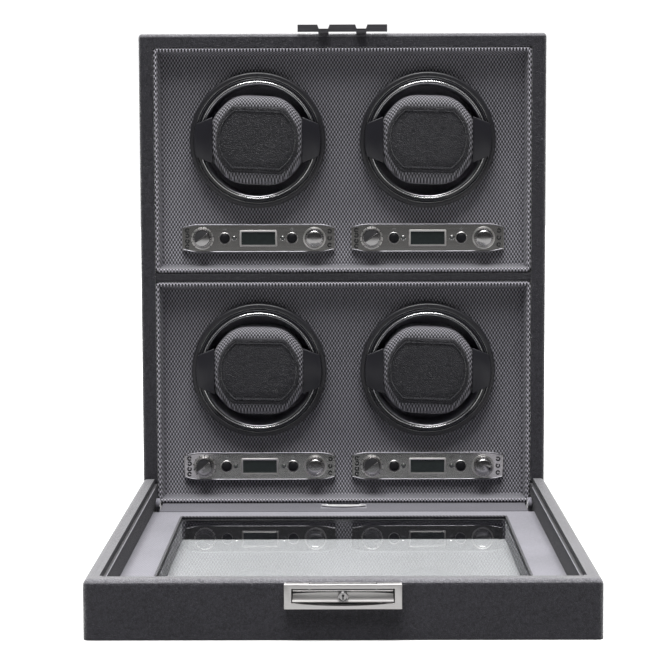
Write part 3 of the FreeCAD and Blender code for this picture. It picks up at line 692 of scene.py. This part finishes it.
def make_bezel(n, centre):
    outer, inner = 54.3, 49.9
    profile = [(inner, 18), (inner, 4.9), (inner + 0.25, 4.3), (inner + 0.9, 4.0)]
    profile += [(outer - 1.6, 4.15), (outer - 0.7, 4.6), (outer - 0.15, 5.5)]
    profile += [(outer, 6.6), (outer, 12), (inner + 0.5, 12.2), (inner + 0.5, 18)]
    obj = lathe(f"bezel_{n}", in_place(profile), centre, M["black_plastic"], 160)
    settle(obj, "case", "black_plastic")
    lip = [(inner + 0.05, 4.7)] + ring_bead(inner + 0.3, 4.45, 0.22, 6) + [(inner + 0.55, 4.7)]
    settle(lathe(f"bezel_lip_{n}", in_place(lip), centre, M["polished"], 160), "case", "black_plastic")
    bm = bmesh.new()
    foot, top = centre.z + (inner + 0.3) * MM, centre.z + (outer - 1.2) * MM
    box_into(bm, centre.x - 0.18 * MM, centre.x + 0.18 * MM, deep(3.95), deep(4.6), foot, top)
    split = from_bmesh(f"bezel_split_{n}", bm, M["gloss_black"])
    settle(split, "case", "black_plastic")
    return obj


def make_drum(n, centre):
    """Cup with its spindle and pulley, the trim ring on its rim, and the bright bead on that."""
    body = f"drum_{n}"
    cup = [(0, 49), (42.6, 49), (44.1, 48.4), (44.6, 47), (44.6, 3.6), (49, 3.6), (49, 51), (48, 52)]
    cup += [(12, 52), (12, 57), (31.5, 57), (31.5, 58), (30, 58.2), (30, 62.8), (31.5, 63), (31.5, 64)]
    cup += [(4, 64), (4, 77.4), (3.4, 78), (0, 78)]
    obj = lathe(f"drum_shell_{n}", in_place(cup), centre, M["cup_black"], 128, closed=False)

    def within(p, r):
        return off_axis(p, centre.x, centre.z) < r * MM

    # the inside of the cup is painted light grey: painted light in the hollow
    paint(obj, "cup_wall", lambda p: p.center.y < deep(49.5) and within(p, 44.8))
    settle(obj, body, "black_plastic", f"drum_cup_{n}")
    trim = [(44.65, 3.55), (44.65, 2.9), (45.1, 2.6), (45.7, 2.5)] + ring_bead(46.3, 2.35, 0.45)
    trim += [(46.9, 2.9), (47.4, 3.2), (48.2, 3.25), (48.7, 3.55)]
    ring = lathe(f"trim_ring_{n}", in_place(trim), centre, M["gloss_black"], 192)
    paint(ring, "trim_chrome", lambda p: within(p, 45.3))
    settle(ring, body, "black_plastic")
    bead = in_place(ring_bead(46.3, 2.3, 0.50))
    settle(lathe(f"trim_bead_{n}", bead, centre, M["polished"], 192), body, "polished")


# ---- cuffs ----


def barrel_outline(half_w, half_h, flat, bulge, steps):
    """Flat top and bottom, and sides that swell out between them, as (x, z) points."""
    points = []
    for side in (1, -1):
        for k in range(steps + 1):
            t = -1 + 2 * k / steps
            z = half_h * t * side
            x = side * (flat + (half_w - flat) * (1 - abs(t) ** bulge))
            points.append((x, z))
    return points


def cushion_mesh():
    """A padded block with cut corners and a rolled front edge, centred on the origin."""
    w, h = 38.1 * MM, 36.0 * MM
    flat, rise = 21 * MM, 16 * MM
    corners = [(flat, h), (w, rise), (w, -rise), (flat, -h), (-flat, -h), (-w, -rise), (-w, rise), (-flat, h)]
    outline = rounded_outline(list(reversed(corners)), 24 * MM, 8)
    bm = bmesh.new()
    prism_into(bm, [(x * 0.985, z * 0.985) for x, z in outline], deep(-2.4), deep(42))
    bevel_sharp(bm, 6.5 * MM, 5, 50, lambda e: all(v.co.y < deep(0) for v in e.verts))
    return from_bmesh("cushion_form", bm, M["cuff_cloth"], 80)


def soften(obj, voxel, pressure, frames, cap):
    """Remesh, blow up with a cloth simulation, and hold each point near its start."""
    remesh = obj.modifiers.new("remesh", "REMESH")
    remesh.mode = "VOXEL"
    remesh.voxel_size = voxel
    bake_modifiers(obj)
    start = [v.co.copy() for v in obj.data.vertices]
    cloth = obj.modifiers.new("cloth", "CLOTH")
    settings = cloth.settings
    settings.use_pressure = True
    settings.uniform_pressure_force = pressure
    settings.effector_weights.gravity = 0
    settings.quality = 6
    settings.mass = 0.3
    settings.tension_stiffness = 25
    settings.compression_stiffness = 25
    settings.shear_stiffness = 8
    settings.bending_stiffness = 4
    scene = bpy.context.scene
    for f in range(1, frames + 1):
        scene.frame_set(f)
    bake_modifiers(obj)
    scene.frame_set(1)
    for v, s in zip(obj.data.vertices, start):
        move = v.co - s
        if move.length > cap:
            v.co = s + move.normalized() * cap
    obj.data.shade_smooth()


def make_cuffs():
    form = cushion_mesh()
    soften(form, 2.4 * MM, 3.0, 12, 1.2 * MM)
    smooth = form.modifiers.new("smooth", "SMOOTH")
    smooth.factor = 0.5
    smooth.iterations = 3
    sub = form.modifiers.new("sub", "SUBSURF")
    sub.levels = sub.render_levels = 1
    bake_modifiers(form)
    form.data.shade_smooth()
    pad = pad_form()
    for n, centre in enumerate(DRUMS, 1):
        lean = Matrix.Rotation(math.radians(LEAN[n - 1]), 4, "Y")
        place = Matrix.Translation((centre.x, 0, centre.z)) @ lean
        cushion = copy_piece(form, f"cuff_pillow_{n}", place)
        settle(cushion, f"cuff_{n}", "cuff_cloth", f"cuff_cushion_{n}")
        face = copy_piece(pad, f"cuff_face_{n}", place)
        settle(face, f"cuff_{n}", "case_leather")
        make_bracket(n, centre)
        make_pad_stitches(n, place)
    bpy.data.objects.remove(form)
    bpy.data.objects.remove(pad)


def copy_piece(obj, name, place):
    mesh = obj.data.copy()
    mesh.name = name
    mesh.transform(place)
    return add_object(name, mesh)


PAD_HALF_W, PAD_HALF_H, PAD_FLAT = 32.8 * MM, 26.4 * MM, 20.4 * MM
PAD_FRONT, PAD_BACK = -4.9, -2.2  # depths in millimetres
LEAN = (2.8, 1.8, 1.0, 2.5)  # how far each cuff was turned when it was pushed in, in degrees


def pad_form():
    """Leather face pad: a low cushion with a pressed line inside its edge."""
    outline = barrel_outline(PAD_HALF_W, PAD_HALF_H, PAD_FLAT, 2.4, 14)
    bm = bmesh.new()
    rings = []
    # across and up as shares of the outline, and how far behind the pad's front
    steps = [(1.0, 1.0, PAD_BACK - PAD_FRONT), (1.0, 1.0, 0.9), (0.985, 0.985, 0.35), (0.965, 0.965, 0.1)]
    steps += [(0.945, 0.90, 0.05), (0.932, 0.880, 0.25), (0.928, 0.872, -0.35), (0.922, 0.856, -0.5)]
    steps += [(0.912, 0.836, -0.1), (0.905, 0.82, 0.35), (0.89, 0.79, 0.12), (0.7, 0.6, 0), (0.35, 0.3, 0)]
    for across, up, y in steps:
        rings.append([bm.verts.new((x * across, deep(PAD_FRONT + y), z * up)) for x, z in outline])
    skin(bm, rings)
    bm.faces.new(rings[-1])
    bm.faces.new(list(reversed(rings[0])))
    bmesh.ops.remove_doubles(bm, verts=bm.verts, dist=1e-6)
    return from_bmesh("pad_form", bm, M["pad_leather"], 60)


def make_pad_stitches(n, place):
    bm = bmesh.new()
    pitch, length, radius = 2.4 * MM, 1.7 * MM, 0.28 * MM
    for z in (-PAD_HALF_H * 0.815, PAD_HALF_H * 0.815):
        count = int(2 * PAD_FLAT * 0.86 / pitch)
        for k in range(count + 1):
            x = (k - count / 2) * pitch
            stitch_into(bm, Vector((x, deep(PAD_FRONT + 0.15), z)), length, radius)
    bm.transform(place)
    obj = from_bmesh(f"cuff_stitches_{n}", bm, M["stitch_thread"], 80)
    settle(obj, f"cuff_{n}", "case_leather")


def stitch_into(bm, at, length, radius):
    """A short thread lying along X, its ends dipping in."""
    rings = []
    around, along = 6, 5
    for i in range(along + 1):
        t = -1 + 2 * i / along
        r = radius * math.sqrt(max(0.02, 1 - t**4))
        ring = []
        for k in range(around):
            a = 2 * math.pi * k / around
            co = at + Vector((t * length / 2, r * math.cos(a) + 0.3 * radius * t * t, r * math.sin(a)))
            ring.append(bm.verts.new(co))
        rings.append(ring)
    skin(bm, rings)
    cap_ends(bm, rings)


def make_bracket(n, centre):
    """Cradle behind and beside the cushion, with a grip wing on each side that widens towards it."""
    side, wall, back = 38.3 * MM, 1.8 * MM, 42.2
    half, tuck, flare = 16.0 * MM, 35.6 * MM, 18.4 * MM
    reach, tip = 50.4 * MM, math.radians(15.0)
    z0, z1 = centre.z - half, centre.z + half
    bm = bmesh.new()
    for s in (-1, 1):
        points = [(tuck, -flare)] + arc(0, 0, reach, -tip, 2 * tip, 12) + [(tuck, flare)]
        outline = [(centre.x + s * x, centre.z + z) for x, z in points]
        prism_into(bm, outline if s > 0 else list(reversed(outline)), deep(-1.5), deep(1.0))
        x0, x1 = sorted((centre.x + s * side, centre.x + s * (side + wall)))
        box_into(bm, x0, x1, deep(0.4), deep(back + 2.4), z0, z1)
    box_into(bm, centre.x - side, centre.x + side, deep(back), deep(back + 2.4), z0, z1)
    bevel_sharp(bm, 0.6 * MM, 3, 40)
    obj = from_bmesh(f"cuff_cradle_{n}", bm, M["grip_black"])
    settle(obj, f"cuff_{n}", "gloss_black", f"cuff_bracket_{n}")


# ---- control plates ----


PLATE_HALF = 61.25  # half the plate's length, in millimetres


def plate_top(x):
    """Half height of a control plate at x, in millimetres: level, then easing down to the ends."""
    middle, end, taper = 11.5, 9.0, 13.0
    t = max(0.0, (abs(x) - (PLATE_HALF - taper)) / taper)
    return middle - (middle - end) * t**1.8


def plate_outline():
    steps = 12
    top = []
    for k in range(steps + 1):
        x = 48 + (PLATE_HALF - 48) * k / steps
        top.append((x, plate_top(x)))
    right = top + [(x, -z) for x, z in reversed(top)]
    return right + [(-x, -z) for x, z in right]


def make_plate(n, centre):
    """Brushed plate with a rail along its top and bottom edges."""
    front, back = 9.3, 12.0
    outline = [(centre.x + x * MM, centre.z + z * MM) for x, z in plate_outline()]
    bm = bmesh.new()
    prism_into(bm, list(reversed(outline)), deep(front), deep(back))
    bevel_sharp(bm, 0.35 * MM, 2, 40, lambda e: all(v.co.y < deep(front + 0.1) for v in e.verts))
    plate = from_bmesh(f"plate_{n}", bm, M["gunmetal"], 20)
    settle(plate, "case", "gunmetal")
    bm = bmesh.new()
    for s in (-1, 1):
        rail_into(bm, centre, s)
    settle(from_bmesh(f"plate_rails_{n}", bm, M["catch_steel"], 50), "case", "gunmetal")
    return plate


def rail_into(bm, centre, side):
    """Half-round bar that follows the plate's top (side 1) or bottom (side -1) edge."""
    rings = []
    count, around = 60, 8
    for i in range(count + 1):
        x = -60.6 + 121.2 * i / count
        z = side * (plate_top(x) - 0.62)
        fade = min(1.0, (60.7 - abs(x)) / 2.5)
        r = 0.62 * (0.35 + 0.65 * fade)
        ring = []
        for k in range(around):
            a = 2 * math.pi * k / around
            y = 9.2 - 0.1 - r * math.cos(a)
            ring.append(bm.verts.new((centre.x + x * MM, deep(y), centre.z + (z + r * math.sin(a)) * MM)))
        rings.append(ring)
    skin(bm, rings)
    cap_ends(bm, rings)


def frame_into(bm, cx, cz, w, h, border, y0, y1):
    """A rectangular frame, w by h outside, in millimetres about a centre in metres."""
    bevel = 0.35
    outer = rounded_outline(rectangle(w, h), 1.0, 4)
    crown = rounded_outline(rectangle(w - 2 * bevel, h - 2 * bevel), 0.8, 4)
    inner = rounded_outline(rectangle(w - 2 * border, h - 2 * border), 0.4, 4)
    loops = []
    for points, y in ((outer, y1), (outer, y0 + bevel), (crown, y0), (inner, y0 + bevel * 0.8), (inner, y1)):
        loops.append([bm.verts.new((cx + x * MM, deep(y), cz + z * MM)) for x, z in points])
    skin(bm, loops)


def make_display(n, centre):
    bm = bmesh.new()
    frame_into(bm, centre.x, centre.z, 30.2, 13.3, 1.45, 7.8, 9.4)
    settle(from_bmesh(f"display_rim_{n}", bm, M["nickel"], 50), "case", "nickel")
    bm = bmesh.new()
    w, h = 13.8 * MM, 5.4 * MM
    box_into(bm, centre.x - w, centre.x + w, deep(8.8), deep(9.6), centre.z - h, centre.z + h)
    settle(from_bmesh(f"display_pane_{n}", bm, M["display_dark"]), "case", "display")


def make_small_fittings(n, centre):
    """Rings round the buttons, lamps in their rings, the dials, plus and minus signs, and marks."""
    for side, tag in ((-1, "left"), (1, "right")):
        x = centre.x + side * 27 * MM
        seat = [(4.05, 9.4), (4.05, 9.0), (4.2, 8.8), (4.45, 8.7), (4.7, 8.9), (4.8, 9.4)]
        ring = lathe(f"button_ring_{tag}_{n}", in_place(seat), (x, 0, centre.z), M["nickel"], 48)
        settle(ring, "case", "gunmetal")
        x = centre.x + side * 19.5 * MM
        lens = [(0, 8.05), (0.7, 8.1), (1.15, 8.3), (1.4, 8.7), (1.4, 9.6), (0, 9.6)]
        lamp = lathe(f"lamp_{tag}_{n}", in_place(lens), (x, 0, centre.z), M["lamp_clear"], 32, closed=False)
        settle(lamp, "case", "display")
        seat = [(1.4, 9.4), (1.35, 8.75), (1.6, 8.5), (1.95, 8.7), (2.1, 9.4)]
        ring = lathe(f"lamp_ring_{tag}_{n}", in_place(seat), (x, 0, centre.z), M["knob_metal"], 32)
        settle(ring, "case", "gunmetal")
    dial_ring(n, centre)
    light, dark = bmesh.new(), bmesh.new()
    for side in (-1, 1):
        x, z = centre.x + side * 27 * MM, centre.z + 7.4 * MM
        box_into(light, x - 1.4 * MM, x + 1.4 * MM, deep(9.1), deep(9.4), z - 0.35 * MM, z + 0.35 * MM)
        if side > 0:
            box_into(light, x - 0.35 * MM, x + 0.35 * MM, deep(9.1), deep(9.4), z - 1.4 * MM, z + 1.4 * MM)
        rows = (-6.4, -2.2, 2.2, 6.4) if side < 0 else (-5.6, 0.0, 5.6)
        for k, row in enumerate(rows):
            mark_into(dark, centre.x + side * 57.2 * MM, centre.z + row * MM, k % 3 - 1)
    marks = from_bmesh(f"plate_signs_{n}", light, M["polished"])
    settle(marks, "case", "gunmetal")
    settle(from_bmesh(f"plate_marks_{n}", dark, M["engraved"]), "case", "gunmetal")


def dial_ring(n, centre):
    """Raised ring round each knob, with a scale of ticks on the left one."""
    for side, tag in ((-1, "left"), (1, "right")):
        x = centre.x + side * 45 * MM
        profile = [(7.7, 9.4), (7.7, 8.9), (8.0, 8.75), (8.5, 8.75), (8.9, 8.95), (9.1, 9.4)]
        ring = lathe(f"dial_ring_{tag}_{n}", in_place(profile), (x, 0, centre.z), M["nickel"], 72)
        settle(ring, "case", "gunmetal")
    bm = bmesh.new()
    x = centre.x - 45 * MM
    for k in range(11):
        a = math.radians(-45 + 27 * k)
        tick = bmesh.new()
        box_into(tick, 8.0 * MM, 9.5 * MM, deep(8.68), deep(9.4), -0.28 * MM, 0.28 * MM)
        tick.transform(Matrix.Translation((x, 0, centre.z)) @ Matrix.Rotation(-a, 4, "Y"))
        join_into(bm, tick)
    settle(from_bmesh(f"dial_ticks_{n}", bm, M["engraved"]), "case", "gunmetal")


def join_into(bm, other):
    """Add another bmesh's geometry, and free it."""
    mesh = bpy.data.meshes.new("part")
    other.to_mesh(mesh)
    other.free()
    bm.from_mesh(mesh)
    bpy.data.meshes.remove(mesh)


def mark_into(bm, x, z, kind):
    """A plain mark: an open ring with an arrow tip, turned one way or the other."""
    outer, inner, steps = 1.95 * MM, 0.8 * MM, 14
    gap = 1.2
    start = {-1: gap / 2, 0: math.pi / 2 + gap / 2, 1: math.pi + gap / 2}[kind]
    sweep = 2 * math.pi - gap
    points = arc(x, z, outer, start, sweep, steps) + arc(x, z, inner, start, sweep, steps)[::-1]
    prism_into(bm, points, deep(9.15), deep(9.4))
    tip = []
    for r, a in ((2.2, start), (0.4, start), (1.3, start - 0.7)):
        tip.append((x + r * MM * math.cos(a), z + r * MM * math.sin(a)))
    prism_into(bm, tip, deep(9.15), deep(9.4))


def turned_into(bm, profile, centre, notches, depth, above):
    """Revolve (radius, depth) points in millimetres, with notches in what lies beyond a radius."""
    rings = []
    turns = 120
    for r, y in profile:
        ring = []
        for k in range(1 if r == 0 else turns):
            a = 2 * math.pi * k / turns
            cut = depth * max(0.0, math.cos(a * notches)) ** 4 if r > above else 0.0
            rr = (r - cut) * MM
            ring.append(bm.verts.new((centre[0] + rr * math.cos(a), deep(y), centre[1] + rr * math.sin(a))))
        rings.append(ring)
    skin(bm, rings)


def make_knob(n, tag, centre, dial):
    """Turned knob on a notched skirt. The dial sort has a raised half and the other a domed face."""
    body = f"knob_{tag}_{n}"
    bm = bmesh.new()
    profile = [(0, 8.6), (7.2, 8.6), (7.4, 8.3), (7.4, 5.0), (7.0, 4.4), (6.5, 4.3)]
    if dial:
        profile += [(6.3, 4.9), (6.1, 5.0), (0, 5.0)]
    else:
        profile += [(6.3, 3.2), (6.0, 2.7), (5.4, 2.3), (3.6, 1.9), (1.8, 1.72), (0, 1.7)]
    turned_into(bm, profile, centre, 20, 0.5, 6.4)
    obj = from_bmesh(f"knob_turned_{tag}_{n}", bm, M["knob_metal"], 40)
    paint(obj, "zinc", lambda p: dial and off_axis(p, *centre) < 6.2 * MM and p.normal.y < -0.5)
    settle(obj, body, "gunmetal", f"knob_{tag}_{n}")
    if not dial:
        return
    bm = bmesh.new()
    r, past_middle = 6.0 * MM, 1.0 * MM
    rise = math.asin(past_middle / r)
    prism_into(bm, arc(0, 0, r, math.pi - rise, math.pi + 2 * rise, 20), deep(1.9), deep(5.2))
    bevel_sharp(bm, 0.35 * MM, 3, 40)
    place = Matrix.Translation((centre[0], 0, centre[1])) @ Matrix.Rotation(math.radians(-35), 4, "Y")
    bm.transform(place)
    settle(from_bmesh(f"knob_grip_{tag}_{n}", bm, M["knob_metal"], 40), body, "gunmetal")


def make_button(n, tag, centre):
    profile = [(0, 6.6), (1.1, 6.68), (2.2, 6.95), (3.1, 7.35), (3.75, 7.85), (3.9, 8.15), (3.7, 8.3)]
    profile += [(3.1, 8.3), (3.1, 12.5), (0, 12.5)]
    where = (centre[0], 0, centre[1])
    obj = lathe(f"button_dome_{tag}_{n}", in_place(profile), where, M["button_black"], 48, closed=False)
    settle(obj, f"button_{tag}_{n}", "gloss_black", f"button_{tag}_{n}")


def make_controls():
    first = None
    for n in (1, 2, 3, 4):
        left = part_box(f"knob_left_{n}")
        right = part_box(f"knob_right_{n}")
        centre = (left[0] + left[1] + right[0] + right[1]) / 4
        plate = make_plate(n, centre)
        first = first or plate
        make_display(n, centre)
        make_small_fittings(n, centre)
        for side, tag in ((-1, "left"), (1, "right")):
            make_knob(n, tag, (centre.x + side * 45 * MM, centre.z), dial=side < 0)
            make_button(n, tag, (centre.x + side * 27 * MM, centre.z))
    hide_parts("control_plates", "display_windows")


# ---- cover's trim and lock ----


def block_of(x, y, z):
    """A closed box bmesh from (low, high) pairs: x and z in metres, y as depth in millimetres."""
    bm = bmesh.new()
    box_into(bm, x[0], x[1], deep(y[0]), deep(y[1]), z[0], z[1])
    return bm


def lock_window():
    """Opening in the lock's frame: level above, bowed down below."""
    half, top, ends, middle = 32 * MM, 33.3 * MM, 24.3 * MM, 22.5 * MM
    outline = [(half, top), (-half, top)]
    for k in range(25):
        t = -1 + k / 12
        outline.append((t * half, ends + (middle - ends) * (1 - t * t)))
    bm = bmesh.new()
    prism_into(bm, outline, deep(-399), deep(-392.4))
    return bm


def make_lock():
    low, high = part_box("lock_case")
    front = (low.y - FRONT) / MM
    bm = block_of((low.x, high.x), (front, front + 6.0), (low.z, high.z))
    bevel_sharp(bm, 0.35 * MM, 3, 40, lambda e: any(v.co.y < low.y + 0.1 * MM for v in e.verts))
    obj = from_bmesh("lock_frame", bm, M["nickel"], 40)
    above = high.z + 1.0 * MM
    cutters = [lock_window()]
    cutters.append(block_of((-21 * MM, 21 * MM), (front + 0.85, front + 5.3), (32.3 * MM, above)))
    for side in (-1, 1):
        x = sorted((side * 20.9 * MM, side * 35.2 * MM))
        cutters.append(block_of(x, (front + 4.6, front + 5.6), (high.z - 0.8 * MM, above)))
        x = (side * 15 * MM - 4.4 * MM, side * 15 * MM + 4.4 * MM)
        cutters.append(block_of(x, (front + 1.65, front + 7.0), (32.7 * MM, above)))
    cut_away(obj, cutters)

    # the back of the lock's window and the walls of its top slot are painted black: painted shade
    def shaded(p):
        well = p.center.y > deep(front + 3.8) and p.normal.y < -0.5
        slot = abs(p.center.x) < 21.1 * MM and p.center.y > deep(front + 0.8) and p.center.z > 32.2 * MM
        return well or slot and p.normal.z < 0.5

    paint(obj, "engraved", shaded)
    obj.data.shade_smooth()
    obj.data.set_sharp_from_angle(angle=math.radians(35))
    settle(obj, "cover", "nickel", "lock_case")
    make_flap(front)
    make_plug(front)


# outline of the lever's flap from its rolled top edge, down its hollow front and up its back:
# how far behind the lock's front, and how high above the ground, in millimetres
FLAP_PROFILE = (
    (2.8, 33.0), (2.2, 33.05), (1.6, 32.85), (1.25, 32.4), (1.2, 32.0), (1.35, 31.65), (1.7, 31.45),
    (2.4, 31.4), (2.7, 31.2), (2.68, 30.6), (2.62, 29.5), (2.5, 28.4), (2.3, 27.4), (2.05, 26.6),
    (1.75, 25.9), (1.45, 25.3), (1.25, 24.95), (1.2, 24.7), (1.4, 24.5), (2.2, 24.5), (3.2, 24.9),
)


def make_flap(front):
    bm = bmesh.new()
    rings = []
    steps = 48
    for i in range(steps + 1):
        t = -1 + 2 * i / steps
        ring = []
        for k, (back, z) in enumerate(FLAP_PROFILE):
            half = 31.4 - 0.06 * (z - 24.5)
            sag = 0.9 * abs(t) ** 3 if k in (9, 10) else 0.0
            ring.append(bm.verts.new((t * half * MM, deep(front + back), (z - sag) * MM)))
        rings.append(ring)
    skin(bm, rings)
    cap_ends(bm, rings)
    box_into(bm, -20.5 * MM, 20.5 * MM, deep(front + 1.8), deep(front + 3.2), 32.6 * MM, 36.25 * MM)
    box_into(bm, -20.5 * MM, 20.5 * MM, deep(front + 3.15), deep(front + 3.9), 34.6 * MM, 36.25 * MM)
    # a small ledge that shades the rolled edge from above
    box_into(bm, -20.5 * MM, 20.5 * MM, deep(front + 1.15), deep(front + 1.9), 33.4 * MM, 33.9 * MM)
    obj = from_bmesh("lever_flap", bm, M["nickel"], 50)

    # the groove under the flap's rolled edge, and the faces of the bar and ledge above it, are painted black:
    # painted shade
    def shaded(p):
        groove = 30.1 * MM < p.center.z < 31.25 * MM and p.normal.y < -0.5
        return groove or p.center.z > 33.1 * MM and p.normal.z < 0.5

    paint(obj, "engraved", shaded)
    settle(obj, "lock_lever", "nickel", "lock_lever")


def make_plug(front):
    """Round key plug with a raised rim and a plain keyhole."""
    low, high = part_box("key_plug")
    centre = (0, 0, (low.z + high.z) / 2)
    profile = [(3.3, 3.3), (3.3, 0.95), (3.1, 0.7), (2.8, 0.62), (2.5, 0.75), (2.35, 1.1), (2.2, 1.15)]
    profile += [(1.0, 1.0), (0, 0.98)]
    points = in_place([(r, front + y) for r, y in profile])
    plug = lathe("lock_plug", points, centre, M["knob_metal"], 48, closed=False)
    settle(plug, "key_plug", "nickel", "key_plug")
    bm = bmesh.new()
    foot = centre[2] - 1.7 * MM
    head = arc(0, centre[2] + 0.75 * MM, 0.85 * MM, math.radians(-62), math.radians(304), 12)
    outline = [(0.42 * MM, foot)] + head + [(-0.42 * MM, foot)]
    # the keyhole is a flat black sheet on the plug's face: painted shade for the hole
    prism_into(bm, outline, deep(front + 0.9), deep(front + 1.3))
    settle(from_bmesh("lock_keyhole", bm, M["engraved"]), "key_plug", "nickel")


def cord_round(name, corners, radius, material, closed=True):
    """Thin round cord through points joined by straight runs, in metres."""
    data = bpy.data.curves.new(name, "CURVE")
    data.dimensions = "3D"
    data.bevel_depth = radius
    data.bevel_resolution = 3
    line = data.splines.new("POLY")
    line.points.add(len(corners) - 1)
    for point, corner in zip(line.points, corners):
        point.co = (*corner, 1)
    line.use_cyclic_u = closed
    data.use_fill_caps = not closed
    tube = add_object(name, data)
    mesh = bpy.data.meshes.new_from_object(tube)
    bpy.data.objects.remove(tube)
    mesh.materials.clear()
    mesh.materials.append(material)
    mesh.shade_smooth()
    return add_object(name, mesh)


def make_cover_trim():
    """Cord round the window, and a fine thread along the step in the cover's walls."""
    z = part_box("cover_lining")[1].z + 0.1 * MM
    x, y0, y1 = 126.8 * MM, deep(-364.8), deep(-61.2)
    corners = rounded_outline([(-x, y0), (x, y0), (x, y1), (-x, y1)], 1.5 * MM, 4)
    cord = cord_round("window_cord", [(a, b, z) for a, b in corners], 0.85 * MM, M["window_cord"])
    settle(cord, "cover", "case_leather")
    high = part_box("cover_side_walls")[1]
    x, z = high.x - 11.55 * MM, high.z - 4.45 * MM
    y0, y1 = deep(-379.6), deep(-24)
    route = [(-x, y1, z), (-x, y0, z), (x, y0, z), (x, y1, z)]
    thread = cord_round("wall_thread", route, 0.3 * MM, M["edge_thread"], closed=False)
    settle(thread, "cover", "case_leather")


# ---- everything ----


def main():
    make_camera()
    make_world()
    make_stage()
    dress_cad_nodes()
    lower = tray_panel("lower_tray", "lower_module_panel")
    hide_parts("lower_module_panel")
    upper = tray_panel("upper_tray", "upper_module_panel")
    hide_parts("upper_module_panel")
    for n, centre in enumerate(DRUMS, 1):
        make_bezel(n, centre)
        make_drum(n, centre)
    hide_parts("bezel_rings")
    make_cuffs()
    make_controls()
    make_cover_trim()
    make_lock()


main()
